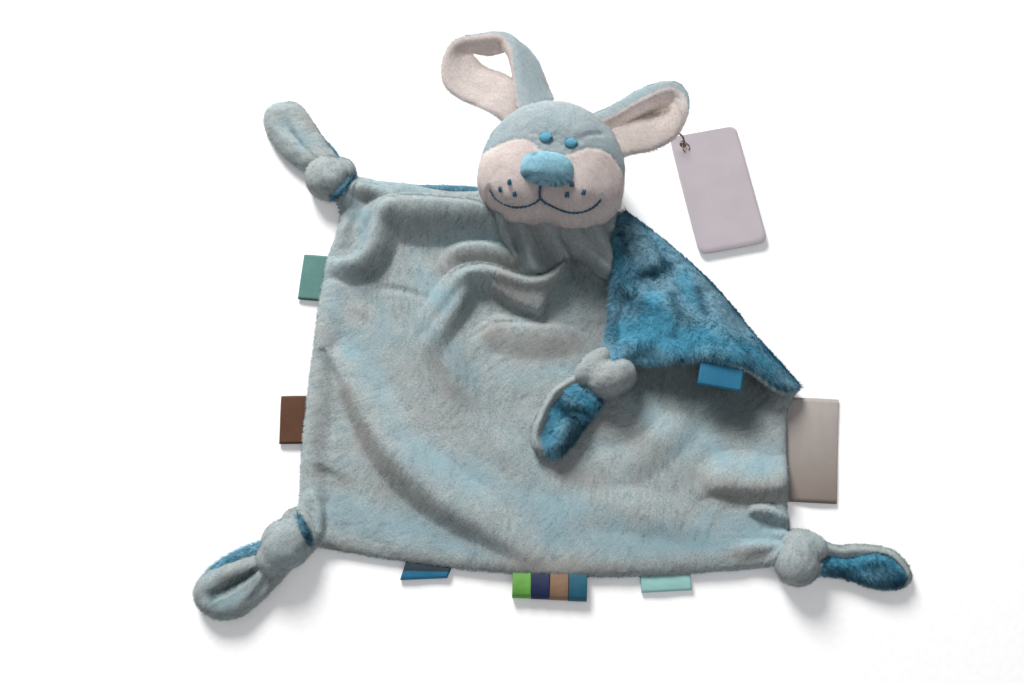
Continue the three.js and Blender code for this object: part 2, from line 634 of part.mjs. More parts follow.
// Hang card with a round hole, and the string that holds it to the ear
const cardShape = new THREE.Shape();
const [cardTop, cardSide, corner] = [5.5, CARD_W / 2, 4];
const cardBottom = cardTop - CARD_L;
const hang = -cardSide + 6.5;
const [cx0, cx1] = [hang - 0 - 6.5 + cardSide - 6.5, hang - 6.5 + cardSide - 6.5 + CARD_W];
cardShape.moveTo(cx0 + corner, cardBottom);
cardShape.lineTo(cx1 - corner, cardBottom);
cardShape.quadraticCurveTo(cx1, cardBottom, cx1, cardBottom + corner);
cardShape.lineTo(cx1, cardTop - corner);
cardShape.quadraticCurveTo(cx1, cardTop, cx1 - corner, cardTop);
cardShape.lineTo(cx0 + corner, cardTop);
cardShape.quadraticCurveTo(cx0, cardTop, cx0, cardTop - corner);
cardShape.lineTo(cx0, cardBottom + corner);
cardShape.quadraticCurveTo(cx0, cardBottom, cx0 + corner, cardBottom);
const cardHole = new THREE.Path();
cardHole.absarc(0, 0, CARD_HOLE_R, 0, 2 * Math.PI, true);
cardShape.holes.push(cardHole);
const card = new THREE.ExtrudeGeometry(cardShape, { depth: CARD_T, bevelEnabled: false, curveSegments: 4 });
card.rotateZ(rad(CARD_DEG));
card.translate(CARD_HOLE[0], CARD_HOLE[1], CARD_Z);
add(card, 'hang_card', 0xc9bfc2);

const stringPath = [[0, 0, CARD_Z - GAP - 0.5], [0, 0, CARD_Z + CARD_T + 2], [0, 2, 8], [-4, 3, 11]];
const stringRings = [];
const stringAt = smoothLine(stringPath);
for (let i = 0; i <= 10; i += 1) {
  const p = stringAt(i / 10);
  const ring = [];
  for (let k = 0; k < 6; k += 1) {
    const a = (2 * Math.PI * k) / 6;
    ring.push([CARD_HOLE[0] + p[0] + STRING_R * Math.cos(a), CARD_HOLE[1] + p[1] + STRING_R * Math.sin(a), p[2]]);
  }
  stringRings.push(ring);
}
const stopper = pillar(CARD_HOLE, CARD_HOLE_R + 0.8, 0.3, CARD_Z - GAP, 12);
add(toSolid(loft(stringRings)).add(stopper).subtract(earGrown.right), 'card_string', 0x5a4a42);

export default object;
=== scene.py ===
import math

import bmesh
import bpy
import numpy as np
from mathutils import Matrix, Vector


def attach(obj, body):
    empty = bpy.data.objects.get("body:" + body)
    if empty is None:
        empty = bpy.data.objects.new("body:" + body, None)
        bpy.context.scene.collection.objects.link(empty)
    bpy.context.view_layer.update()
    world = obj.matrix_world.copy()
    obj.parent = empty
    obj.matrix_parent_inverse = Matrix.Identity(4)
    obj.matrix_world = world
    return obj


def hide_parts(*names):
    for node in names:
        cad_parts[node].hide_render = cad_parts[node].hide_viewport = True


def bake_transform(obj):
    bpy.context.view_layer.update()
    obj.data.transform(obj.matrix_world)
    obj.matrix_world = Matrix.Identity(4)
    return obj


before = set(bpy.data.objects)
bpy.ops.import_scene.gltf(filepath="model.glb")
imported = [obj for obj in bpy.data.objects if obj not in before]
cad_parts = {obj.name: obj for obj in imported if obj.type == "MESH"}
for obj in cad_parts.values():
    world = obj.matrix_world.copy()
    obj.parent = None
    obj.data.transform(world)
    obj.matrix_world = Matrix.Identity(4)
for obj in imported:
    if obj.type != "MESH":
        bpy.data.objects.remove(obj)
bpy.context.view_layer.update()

scene = bpy.context.scene

# Camera: the picture's centre and the focal length in its pixels come with it
CAM_AT = Vector((-0.0211, -0.1445, 0.5623))
CAM_TO = Vector((-0.0211, 0.0167, 0.0))
LENS_MM = 38.67
SENSOR_MM = 36
NEAREST = 0.01
PICTURE_MID = (512, 341.5)
FOCAL_PX = 1100
cam_data = bpy.data.cameras.new("camera")
cam_data.lens = LENS_MM
cam_data.sensor_width = SENSOR_MM
cam_data.clip_start = NEAREST
cam = bpy.data.objects.new("camera", cam_data)
scene.collection.objects.link(cam)
cam.location = CAM_AT
cam.rotation_euler = (CAM_TO - CAM_AT).to_track_quat("-Z", "Y").to_euler()
scene.camera = cam


# Small maths: all lengths are millimetres until a mesh is made
def mix(a, b, t):
    return a + (b - a) * t


def clamp(v, lo=0.0, hi=1.0):
    return np.clip(v, lo, hi)


def bell(d, half):
    """1 at no distance, falling smoothly to 0 at half."""
    t = clamp(np.abs(d) / half)
    return 0.5 + 0.5 * np.cos(np.pi * t)


def ease(v):
    v = clamp(v)
    return v * v * (3 - 2 * v)


def unit(v):
    return v / np.maximum(np.linalg.norm(v, axis=-1, keepdims=True), 1e-9)


def along_surface(d, n):
    """Ways d, laid down on surfaces with normals n."""
    return unit(d - n * (d * n).sum(1, keepdims=True))


def placed(x, y, at, angle):
    """Points turned about the origin and moved to a place."""
    c, s = math.cos(angle), math.sin(angle)
    return at[0] + x * c - y * s, at[1] + x * s + y * c


def lattice(i, j, k, seed):
    """One steady random value from -1 to 1 for each cell of a grid."""
    h = (i * 374761393 + j * 668265263 + k * 1274126177 + seed * 974711) & 0xFFFFFFFF
    h = ((h ^ (h >> 13)) * 1103515245) & 0xFFFFFFFF
    h = h ^ (h >> 16)
    return (h & 0xFFFF) / 32767.5 - 1


def noise(p, size, seed=0):
    """Smooth values from -1 to 1 at points, with lumps of about this size."""
    p = np.asarray(p, float)
    q = np.zeros((len(p), 3))
    q[:, : p.shape[1]] = p / size
    i = np.floor(q).astype(np.int64)
    f = q - i
    f = f * f * (3 - 2 * f)
    out = np.zeros(len(p))
    for c in range(8):
        a, b, d = c & 1, (c >> 1) & 1, (c >> 2) & 1
        w = (f[:, 0] if a else 1 - f[:, 0]) * (f[:, 1] if b else 1 - f[:, 1])
        w = w * (f[:, 2] if d else 1 - f[:, 2])
        out += w * lattice(i[:, 0] + a, i[:, 1] + b, i[:, 2] + d, seed)
    return out


class Line:
    """A smooth line through points, read by its share of the length."""

    def __init__(self, points, closed=False, plan=False):
        p = np.array(points, float)
        if p.shape[1] == 2:
            p = np.c_[p, np.zeros(len(p))]
        w = 2 if plan else 3
        if closed:
            ctrl = np.vstack([p[-1], p, p[0], p[1]])
        else:
            ctrl = np.vstack([2 * p[0] - p[1], p, 2 * p[-1] - p[-2]])
        out = []
        for i in range(1, len(ctrl) - 2):
            p0, p1, p2, p3 = ctrl[i - 1 : i + 3]
            k0 = max(np.linalg.norm((p1 - p0)[:w]) ** 0.5, 1e-6)
            k1 = max(np.linalg.norm((p2 - p1)[:w]) ** 0.5, 1e-6)
            k2 = max(np.linalg.norm((p3 - p2)[:w]) ** 0.5, 1e-6)
            t1, t2, t3 = k0, k0 + k1, k0 + k1 + k2
            t = np.linspace(t1, t2, 16, endpoint=False)[:, None]
            a1 = (t1 - t) / k0 * p0 + t / k0 * p1
            a2 = (t2 - t) / k1 * p1 + (t - t1) / k1 * p2
            a3 = (t3 - t) / k2 * p2 + (t - t2) / k2 * p3
            b1 = (t2 - t) / t2 * a1 + t / t2 * a2
            b2 = (t3 - t) / (t3 - t1) * a2 + (t - t1) / (t3 - t1) * a3
            out.append((t2 - t) / k1 * b1 + (t - t1) / k1 * b2)
        self.p = np.vstack(out + [ctrl[-2][None]])
        steps = np.linalg.norm(np.diff(self.p[:, :w], axis=0), axis=1)
        self.s = np.r_[0, np.cumsum(steps)]
        self.length = self.s[-1]

    def __call__(self, t):
        s = clamp(np.asarray(t, float)) * self.length
        return np.stack([np.interp(s, self.s, col) for col in self.p.T], -1)

    def along(self, t):
        t = np.asarray(t, float)
        return unit(self(t + 0.004) - self(t - 0.004))


def near(line, x, y):
    """Distance from a plan line, its further columns there, and the side, 1 for left."""
    best = np.full(len(x), 1e9)
    extra = line.shape[1] - 2
    value = np.zeros((extra, len(x)))
    side = np.ones(len(x))
    for a, b in zip(line[:-1], line[1:]):
        dx, dy = b[0] - a[0], b[1] - a[1]
        t = clamp(((x - a[0]) * dx + (y - a[1]) * dy) / max(dx * dx + dy * dy, 1e-9))
        ox, oy = x - a[0] - t * dx, y - a[1] - t * dy
        d = np.hypot(ox, oy)
        m = d < best
        best[m] = d[m]
        tm = t[m]
        for k in range(extra):
            value[k, m] = a[2 + k] + (b[2 + k] - a[2 + k]) * tm
        side[m] = ((dx * oy - dy * ox) / (math.hypot(dx, dy) * d + 1e-9))[m]
    return best, (value if extra > 1 else value[0] if extra else None), side


# Mesh making
def quads(nu, nv, wrap=False):
    """Faces of a grid whose points run along u first."""
    i, j = np.meshgrid(np.arange(nu if wrap else nu - 1), np.arange(nv - 1))
    i, j = i.ravel(), j.ravel()
    k = (i + 1) % nu
    return np.stack([j * nu + i, j * nu + k, (j + 1) * nu + k, (j + 1) * nu + i], 1)


def triangles(f):
    """Faces of four corners as pairs of three."""
    if f.shape[1] == 3:
        return f
    return np.vstack([f[:, [0, 1, 2]], f[:, [0, 2, 3]]])


def normals_of(v, f):
    """The smooth normal at each point."""
    t = triangles(f)
    a, b, c = v[t[:, 0]], v[t[:, 1]], v[t[:, 2]]
    fn = np.cross(b - a, c - a)
    n = np.zeros_like(v)
    for k in range(3):
        for x in range(3):
            n[:, x] += np.bincount(t[:, k], fn[:, x], len(v))
    return unit(n)


def facing(v, f, up):
    """Faces turned so that they look up, or down where up is -1."""
    return f[:, ::-1] if normals_of(v, f)[:, 2].mean() * up < 0 else f


def facing_along(v, f, ways):
    """Faces turned so that they look along the ways given for their points."""
    return f[:, ::-1] if (normals_of(v, f) * ways).sum(1).mean() < 0 else f


def closing(around, rows):
    """The faces that join a wrapped grid's last row to its first."""
    i = np.arange(around)
    k = (i + 1) % around
    last = (rows - 1) * around
    return np.stack([last + i, last + k, k, i], 1)


def build(name, v, f, material, normals=None, uv=None, **attrs):
    """A mesh object from points in mm, with named values at its points."""
    me = bpy.data.meshes.new(name)
    v = np.asarray(v, float)
    k = f.shape[1]
    me.vertices.add(len(v))
    me.vertices.foreach_set("co", (v * 0.001).astype(np.float32).ravel())
    me.loops.add(f.size)
    me.loops.foreach_set("vertex_index", f.ravel().astype(np.int32))
    me.polygons.add(len(f))
    me.polygons.foreach_set("loop_start", np.arange(0, f.size, k, dtype=np.int32))
    me.update(calc_edges=True)
    me.polygons.foreach_set("use_smooth", np.full(len(f), True))
    for key, value in attrs.items():
        a = me.attributes.new(key, "FLOAT", "POINT")
        a.data.foreach_set("value", np.asarray(value, np.float32).ravel())
    if uv is not None:
        layer = me.uv_layers.new(name="OFBake")
        layer.uv.foreach_set("vector", uv.astype(np.float32).ravel())
    if normals is not None:
        me.normals_split_custom_set_from_vertices(normals.astype(np.float32))
    me.materials.append(material)
    o = bpy.data.objects.new(name, me)
    scene.collection.objects.link(o)
    return o


def joined(*parts):
    """Several (points, faces) with faces of one kind, as one."""
    vs, fs, at = [], [], 0
    for v, f in parts:
        vs.append(v)
        fs.append(triangles(f) + at)
        at += len(v)
    return np.vstack(vs), np.vstack(fs)


def tube(path, radii, around=16, closed=False, up=(0, 0, 1), power=1.0):
    """A tube along points, with (across, upward) radii at each."""
    path = np.asarray(path, float)
    radii = np.asarray(radii, float)
    n = len(path)
    if closed:
        t = unit(np.roll(path, -1, 0) - np.roll(path, 1, 0))
    else:
        t = unit(np.gradient(path, axis=0))
    up = np.broadcast_to(np.asarray(up, float), path.shape)
    side = unit(np.cross(t, up))
    top = unit(np.cross(side, t))
    a = np.linspace(0, 2 * np.pi, around, endpoint=False)
    ca = np.sign(np.cos(a)) * np.abs(np.cos(a)) ** power
    sa = np.sign(np.sin(a)) * np.abs(np.sin(a)) ** power
    v = (path[:, None] + side[:, None] * (ca[:, None] * radii[:, None, :1])
         + top[:, None] * (sa[:, None] * radii[:, None, 1:2]))
    v = v.reshape(-1, 3)
    f = quads(around, n, wrap=True)
    if closed:
        f = np.vstack([f, closing(around, n)])
    return v, f[:, ::-1]


def outwards(o):
    """Turns a closed mesh's faces to look outwards."""
    work = bmesh.new()
    work.from_mesh(o.data)
    bmesh.ops.recalc_face_normals(work, faces=work.faces)
    work.to_mesh(o.data)
    work.free()


def stands(o, body, node):
    """A piece that rides on a body and stands for a CAD node, whose part is hidden."""
    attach(o, body)
    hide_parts(node)


# Materials
def rgb(r, g, b):
    """Screen colour, 0 to 255, as linear."""
    out = []
    for c in (r, g, b):
        c = c / 255
        out.append(c / 12.92 if c <= 0.04045 else ((c + 0.055) / 1.055) ** 2.4)
    return (*out, 1)


class Nodes:
    """A material and short ways to add its nodes."""

    def __init__(self, name):
        self.m = bpy.data.materials.new(name)
        self.m.use_nodes = True
        self.t = self.m.node_tree
        self.bsdf = self.t.nodes["Principled BSDF"]

    def new(self, kind, **values):
        n = self.t.nodes.new(kind)
        for key, value in values.items():
            setattr(n, key, value)
        return n

    def link(self, a, b):
        self.t.links.new(a, b)

    def put(self, socket, value):
        if isinstance(value, bpy.types.NodeSocket):
            self.link(value, socket)
        else:
            socket.default_value = value

    def coords(self, scale=(1, 1, 1), turn=(0, 0, 0)):
        tc = self.new("ShaderNodeTexCoord")
        mp = self.new("ShaderNodeMapping")
        mp.inputs["Scale"].default_value = scale
        mp.inputs["Rotation"].default_value = turn
        self.link(tc.outputs["Object"], mp.inputs["Vector"])
        return mp.outputs[0]

    def noise(self, mm, vector=None, detail=2, rough=0.55):
        n = self.new("ShaderNodeTexNoise")
        n.inputs["Scale"].default_value = 1000 / mm
        n.inputs["Detail"].default_value = detail
        n.inputs["Roughness"].default_value = rough
        self.link(vector if vector is not None else self.coords(), n.inputs["Vector"])
        return n.outputs["Fac"]

    def math(self, op, a, b=0.0, c=0.0, clip=False):
        n = self.new("ShaderNodeMath", operation=op, use_clamp=clip)
        for s, x in zip(n.inputs, (a, b, c)):
            self.put(s, x)
        return n.outputs[0]

    def mix(self, fac, a, b, how="MIX"):
        n = self.new("ShaderNodeMix", data_type="RGBA", blend_type=how)
        self.put(n.inputs[0], fac)
        self.put(n.inputs[6], a)
        self.put(n.inputs[7], b)
        return n.outputs[2]

    def attr(self, name):
        return self.new("ShaderNodeAttribute", attribute_name=name).outputs["Fac"]

    def span(self, value, lo, hi, to_lo=0.0, to_hi=1.0):
        n = self.new("ShaderNodeMapRange")
        for k, x in zip(("Value", "From Min", "From Max", "To Min", "To Max"),
                        (value, lo, hi, to_lo, to_hi)):
            self.put(n.inputs[k], x)
        return n.outputs[0]

    def bump(self, height, strength, mm):
        n = self.new("ShaderNodeBump")
        n.inputs["Strength"].default_value = strength
        n.inputs["Distance"].default_value = mm * 0.001
        self.link(height, n.inputs["Height"])
        self.link(n.outputs[0], self.bsdf.inputs["Normal"])

    def finish(self, colour, rough=0.9, level=0.15, sheen=0.0, tint=None, sheen_rough=0.5):
        b = self.bsdf
        self.put(b.inputs["Base Color"], colour)
        self.put(b.inputs["Roughness"], rough)
        b.inputs["Specular IOR Level"].default_value = level
        b.inputs["Sheen Weight"].default_value = sheen
        b.inputs["Sheen Roughness"].default_value = sheen_rough
        if tint:
            b.inputs["Sheen Tint"].default_value = tint
        return self.m


def shades(*triples):
    return tuple(rgb(*t) for t in triples)


# Each plush: tip, root, the bluer zones, the greyer zones, and deep, the painted shade between tufts and
# in hollows
PALETTE = {
    "pale": shades((192, 197, 197), (124, 143, 147), (148, 180, 190), (154, 148, 142), (62, 82, 86)),
    "ivory": shades((190, 194, 194), (132, 147, 150), (150, 178, 185), (154, 151, 147), (56, 80, 84)),
    "blue": shades((130, 178, 198), (32, 98, 124), (60, 146, 176), (134, 168, 182), (8, 48, 66)),
    "crown": shades((184, 191, 194), (130, 150, 156), (152, 176, 182), (164, 165, 164), (80, 104, 112)),
    "nose": shades((166, 206, 219), (96, 154, 175), (138, 190, 209), (146, 180, 193), (24, 78, 102)),
    # rim: a paler blue for the crease roll, painted light along the crease's edge
    "rim": shades((150, 182, 196), (92, 140, 160), (100, 160, 182), (150, 172, 182), (30, 80, 100)),
    "lining": shades((222, 214, 212), (188, 176, 172), (222, 215, 213), (198, 187, 183), (84, 74, 64)),
    "white": shades((224, 215, 213), (190, 177, 173), (224, 216, 213), (200, 188, 184), (130, 112, 106)),
}


def plush(kind):
    """The cloth under the pile: its own colour, the flecks of the nap, and painted shade between the
    strands.
    """
    tip, root, cool, grey, deep = PALETTE[kind]
    k = Nodes(f"plush_{kind}")
    fine = k.noise(0.9, k.coords(turn=(0, 0, 0.7)), 3, 0.6)
    mid = k.noise(5, None, 2)
    tone = k.attr("tone")
    fleck = k.span(k.math("ADD", fine, k.math("MULTIPLY", mid, 0.35)), 0.42, 0.92)
    c = zoned(k, k.mix(fleck, root, tip), tone, cool, grey, 0.6)
    # Painted shade: the cloth seen between the strands is drawn towards deep, more so under the blue pile
    c = k.mix(0.45 if kind == "blue" else 0.15, c, deep)
    # Painted shade from the dark values set on the surface
    c = k.mix(k.attr("dark"), c, deep)
    k.bump(fine, 0.5, 0.9)
    return k.finish(c, 0.95, 0.1, 0.25, tip, 0.6)


def zoned(k, c, tone, cool, grey, grey_most):
    """A colour drawn to the bluer shade where tone is up, and to the greyer where it is down."""
    c = k.mix(k.math("MULTIPLY", tone, 0.75, clip=True), c, cool)
    return k.mix(k.math("MULTIPLY", k.math("MULTIPLY", tone, -1), grey_most, clip=True), c, grey)


def pile_material(kind):
    """The strands: dark at the root, partly their own root colour and partly painted shade, light at the
    tip, each a little different.
    """
    tip, root, cool, grey, deep = PALETTE[kind]
    k = Nodes(f"pile_{kind}")
    up, own, tone, dark = k.attr("tip"), k.attr("own"), k.attr("tone"), k.attr("dark")
    wide = 0.9 if kind == "blue" else 0.55
    fac = k.span(k.math("ADD", up, k.math("MULTIPLY", own, wide)), -0.3, 1.0)
    c = zoned(k, k.mix(fac, root, tip), tone, cool, grey, 0.65)
    # Painted shade at the roots, standing in for the shadow that the strands do not cast
    root_shade = 0.75 if kind == "blue" else 0.3
    low = k.span(k.math("ADD", up, k.math("MULTIPLY", own, 0.5)), -0.1, 0.5, root_shade, 0)
    c = k.mix(low, c, deep)
    # Painted shade from the dark values set on the surface
    c = k.mix(k.math("MULTIPLY", dark, 0.85, clip=True), c, deep)
    c = k.mix(k.span(k.noise(2.5), 0.3, 0.7, 0, 0.14), c, root)
    return k.finish(c, 0.85, 0.15, 0.3, tip, 0.5)


PLUSH = {kind: plush(kind) for kind in PALETTE}
PILE = {kind: pile_material(kind) for kind in PALETTE}


def thread_material(name, colour, dark):
    """Twisted yarn."""
    k = Nodes(name)
    twist = k.new("ShaderNodeTexWave", wave_type="BANDS", bands_direction="DIAGONAL")
    twist.inputs["Scale"].default_value = 420
    twist.inputs["Distortion"].default_value = 1.5
    k.link(k.coords(), twist.inputs["Vector"])
    c = k.mix(k.math("MULTIPLY", twist.outputs["Fac"], 0.5), colour, dark)
    c = k.mix(k.attr("ring"), c, dark)
    k.bump(twist.outputs["Fac"], 0.4, 0.2)
    return k.finish(c, 0.55, 0.4, 0.3, colour, 0.4)


def ribbon_material(name, colour, dark, deep=None):
    """Woven ribbon: fine ribs across, read from the ribbon's own ways."""
    k = Nodes(name)
    u, v = k.attr("across"), k.attr("down")
    rib = k.math("SINE", k.math("MULTIPLY", v, 2 * math.pi / 0.55))
    warp = k.math("SINE", k.math("MULTIPLY", u, 2 * math.pi / 0.4))
    weave = k.math("ADD", k.math("MULTIPLY", rib, 0.35), k.math("MULTIPLY", warp, 0.15))
    weave = k.math("ADD", weave, 0.5)
    edge = k.attr("edge")
    soft = k.noise(4, None, 2)
    c = k.mix(k.span(weave, 0.1, 0.9), dark, colour)
    c = k.mix(k.span(soft, 0.3, 0.7, 0, 0.25), c, dark)
    c = k.mix(k.math("MULTIPLY", edge, 0.3), c, dark)
    # Painted shade where shaded is set
    c = k.mix(k.attr("shaded"), c, deep or rgb(22, 38, 48))
    k.bump(weave, 0.5, 0.12)
    return k.finish(c, k.span(weave, 0, 1, 0.5, 0.68), 0.35, 0.25, colour, 0.4)


THREAD = {
    "blue": thread_material("thread_blue_yarn", rgb(108, 182, 206), rgb(30, 92, 122)),
    "dark": thread_material("thread_dark_yarn", rgb(34, 96, 124), rgb(10, 44, 66)),
}
RIBBON = {
    "mint": ribbon_material("ribbon_mint_weave", rgb(102, 146, 141), rgb(64, 108, 103)),
    "brown": ribbon_material("ribbon_brown_weave", rgb(105, 66, 42), rgb(66, 38, 20)),
    "blue": ribbon_material("ribbon_blue_weave", rgb(42, 134, 172), rgb(18, 80, 112)),
    "light_mint": ribbon_material("ribbon_light_mint_weave", rgb(172, 216, 212), rgb(122, 172, 168)),
    "green": ribbon_material("ribbon_green_weave", rgb(118, 180, 80), rgb(70, 126, 44)),
    "navy": ribbon_material("ribbon_navy_weave", rgb(15, 42, 90), rgb(6, 18, 48)),
    "tan": ribbon_material("ribbon_tan_weave", rgb(148, 120, 96), rgb(108, 82, 62)),
    "teal": ribbon_material("ribbon_teal_weave", rgb(28, 104, 128), rgb(12, 66, 84)),
    # label: its third colour is the painted shade towards its lower edge
    "label": ribbon_material("label_weave", rgb(190, 184, 180), rgb(162, 154, 149), rgb(124, 112, 103)),
}


# Pile
def nap_of(points, normals, base=-2.3, turn=0.9, size=26, seed=5, away=None):
    """The way the pile lies: mostly one way, wandering, or away from a point."""
    a = base + turn * noise(points, size, seed) + 0.35 * noise(points, 6, seed + 1)
    d = np.stack([np.cos(a), np.sin(a), -0.1 * np.ones(len(a))], 1)
    if away is not None:
        d = unit(points - np.asarray(away)) + 0.45 * d
    return along_surface(d, normals)


def tuft_centres(p, size, seed):
    """For each strand's root, the middle of the tuft that it leans to."""
    p = np.c_[0.8 * p[:, 0] - 0.6 * p[:, 1], 0.6 * p[:, 0] + 0.8 * p[:, 1], p[:, 2]]
    bent = p + 0.45 * size * np.stack([noise(p, 1.7 * size, seed + 7 + k) for k in range(3)], 1)
    cell = np.floor(bent / size).astype(np.int64)
    c = np.stack([lattice(cell[:, 0], cell[:, 1], cell[:, 2], seed + k) for k in range(3)], 1)
    q = (cell + 0.5 + 0.45 * c) * size
    return np.c_[0.8 * q[:, 0] + 0.6 * q[:, 1], -0.6 * q[:, 0] + 0.8 * q[:, 1], q[:, 2]]


# Strands in one lock of the pile share a shade over this step and size
LOCK_STEP = 0.75
LOCK_SIZE = 0.95
LOCK_EVEN = 2.6
# The normals of rounded plush lean this way where its shade is evened out
EVEN_WAY = np.array([0, -0.27, 0.96])


def pile(name, kind, body, v, f, per_mm2, length, width=0.36, lean=1.2, seed=1,
         density=None, tone=None, dark=None, nap=None, wild=0.35, turned=0.07, sink=0.15,
         tufts=0.3, tuft=2.2, long_by=None, flat=0.0, locks=1.0):
    """Strands over a surface, each one thin triangle."""
    g = np.random.default_rng(seed)
    t = triangles(f)
    a, b, c = v[t[:, 0]], v[t[:, 1]], v[t[:, 2]]
    area = 0.5 * np.linalg.norm(np.cross(b - a, c - a), axis=1)
    if density is not None:
        area = area * density[t].mean(1)
    total = area.sum()
    count = int(total * per_mm2)
    pick = np.searchsorted(np.cumsum(area), g.random(count) * total).clip(0, len(t) - 1)
    r1, r2 = np.sqrt(g.random(count)), g.random(count)
    w = np.stack([1 - r1, r1 * (1 - r2), r1 * r2], 1)
    tri = t[pick]
    p = (v[tri] * w[:, :, None]).sum(1)
    n = unit((normals_of(v, f)[tri] * w[:, :, None]).sum(1))
    order = np.lexsort((p[:, 0], np.floor(p[:, 1] / 2)))
    p, n, w, tri = p[order], n[order], w[order], tri[order]
    d = (nap or nap_of)(p, n)
    s = np.cross(n, d)
    # Strands along one lock of the pile share their shade and lie a little higher
    streak = sum(noise(p + d * (LOCK_STEP * j), LOCK_SIZE, seed + 8) for j in range(-3, 4))
    streak = streak * (locks / LOCK_EVEN)
    turn = g.normal(0, wild, count)[:, None] + 0.5 * noise(p, 1.6, seed + 3)[:, None]
    d = d * np.cos(turn) + s * np.sin(turn)
    tilt = (lean + g.normal(0, 0.09, count) + 0.12 * noise(p, 2.2, seed + 4) - 0.12 * streak)[:, None]
    up = n * np.cos(tilt) + d * np.sin(tilt)
    long = length * (0.7 + 0.5 * g.random(count) + 0.25 * noise(p, 2.0, seed + 6))[:, None]
    if long_by is not None:
        long = long * (long_by[tri] * w).sum(1)[:, None]
    s = unit(np.cross(n, d)) * (width * (0.6 + 0.8 * g.random(count)))[:, None] * 0.5
    root = p - n * sink
    pull = tuft_centres(p, tuft, seed) - p
    pull = pull - n * (pull * n).sum(1, keepdims=True)
    tip_p = p + up * long + pull * tufts
    pts = np.stack([root + s, root - s, tip_p], 1).reshape(-1, 3)
    pts[:, 2] = np.maximum(pts[:, 2], 0.05)
    faces = np.arange(3 * count).reshape(-1, 3)
    n = unit(n + flat * EVEN_WAY)
    twist = unit(n + turned * g.normal(0, 1, (count, 3)))
    tip_n = unit(n + d * 0.12 + turned * g.normal(0, 1, (count, 3)))
    nn = np.stack([twist, twist, tip_n], 1).reshape(-1, 3)
    own = np.repeat(0.6 * (g.random(count) - 0.5) + 0.5 * clamp(streak, -1, 1), 3)
    tips = np.tile([0.0, 0.0, 1.0], count)
    tones = np.zeros(3 * count)
    if tone is not None:
        tones = np.repeat((tone[tri] * w).sum(1), 3)
    # Painted shade between the locks of the pile, with small random darker flecks
    fleck = 0.4 * clamp(-streak - 0.12) + 0.16 * clamp(noise(p, 5, seed + 9) - 0.2)
    darks = np.repeat((dark[tri] * w).sum(1) + fleck if dark is not None else fleck, 3)
    side = int(math.ceil(math.sqrt(count)))
    cx, cy = np.arange(count) % side, np.arange(count) // side
    cell = np.array([[0.1, 0.1], [0.9, 0.1], [0.5, 0.9]])
    uv = (np.stack([cx, cy], 1)[:, None] + cell[None]) / side
    o = build(name, pts, faces, PILE[kind], nn, uv.reshape(-1, 2), tip=tips, own=own, tone=tones,
              dark=darks)
    o.visible_shadow = False
    if body:
        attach(o, body)
    return o


def dress(name, v, f, kind, body, nodes, per_mm2=3.0, length=2.0, tone=None, dark=None, flat=0.0, **kw):
    """A plush surface with its pile, standing for CAD nodes."""
    zero = np.zeros(len(v))
    tone = zero if tone is None else tone
    dark = zero if dark is None else dark
    nn = unit(normals_of(v, f) + flat * EVEN_WAY) if flat else None
    o = build(name, v, f, PLUSH[kind], nn, tone=tone, dark=dark)
    h = pile(name + "_pile", kind, body, v, f, per_mm2, length, tone=tone, dark=dark, flat=flat, **kw)
    if body:
        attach(o, body)
    if nodes:
        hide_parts(*nodes)
    return o, h


# Blanket plan
# Folds are placed by where the photograph shows them, at the height of their crest.
EYE = np.array(CAM_AT) * 1000
AHEAD = unit((np.array(CAM_TO) * 1000 - EYE)[None])[0]
ACROSS = unit(np.cross(AHEAD, [0, 0, 1.0])[None])[0]
UPWARD = np.cross(ACROSS, AHEAD)


def spot(px, py, z):
    """The place at height z that the camera sees at a picture point."""
    px, py, z = (np.atleast_1d(np.asarray(a, float)) for a in (px, py, z))
    u, w = (px - PICTURE_MID[0]) / FOCAL_PX, (PICTURE_MID[1] - py) / FOCAL_PX
    ray = AHEAD + u[:, None] * ACROSS + w[:, None] * UPWARD
    t = (z - EYE[2]) / ray[:, 2]
    return EYE + ray * t[:, None]


# Each knot: its middle, its radius, its height and what it stands on
KNOT = {
    "upper_left": ((-122, 107), 10.5, 17, 0),
    "lower_left": ((-131, -88), 11.5, 19, 0),
    "lower_right": ((123, -98), 11.5, 18, 0),
    "folded": ((27, -4), 13.5, 20, 5.8),
}
UL, LL, LR, KF = (KNOT[k][0] for k in ("upper_left", "lower_left", "lower_right", "folded"))
FA, FB = (40, 89), (129, -10)
E_TOP = Line([UL, (-108, 110.5), (-94, 108), (-61, 105.5), (-40, 104.5), (0, 101), FA])
E_FOLD = Line([FA, (66, 67), (90, 41), (110, 14), FB])
E_RIGHT = Line([FB, (122.5, -20), (120.8, -34), (119.5, -60), (118.5, -84), LR])
E_BOTTOM = Line([LL, (-115, -92), (-77, -98), (-27, -104), (23, -106), (98, -102), LR])
E_LEFT = Line([LL, (-129, -70), (-129, -45), (-126, 11), (-121, 60), (-115, 88), UL])
E_FLAP_LEFT = Line([FA, (34, 76), (31, 44), (29, 20), KF])
E_FLAP_LOW = Line([FB, (118, -13), (100, -4), (80, 1), (55, 0), (38, 0), KF])

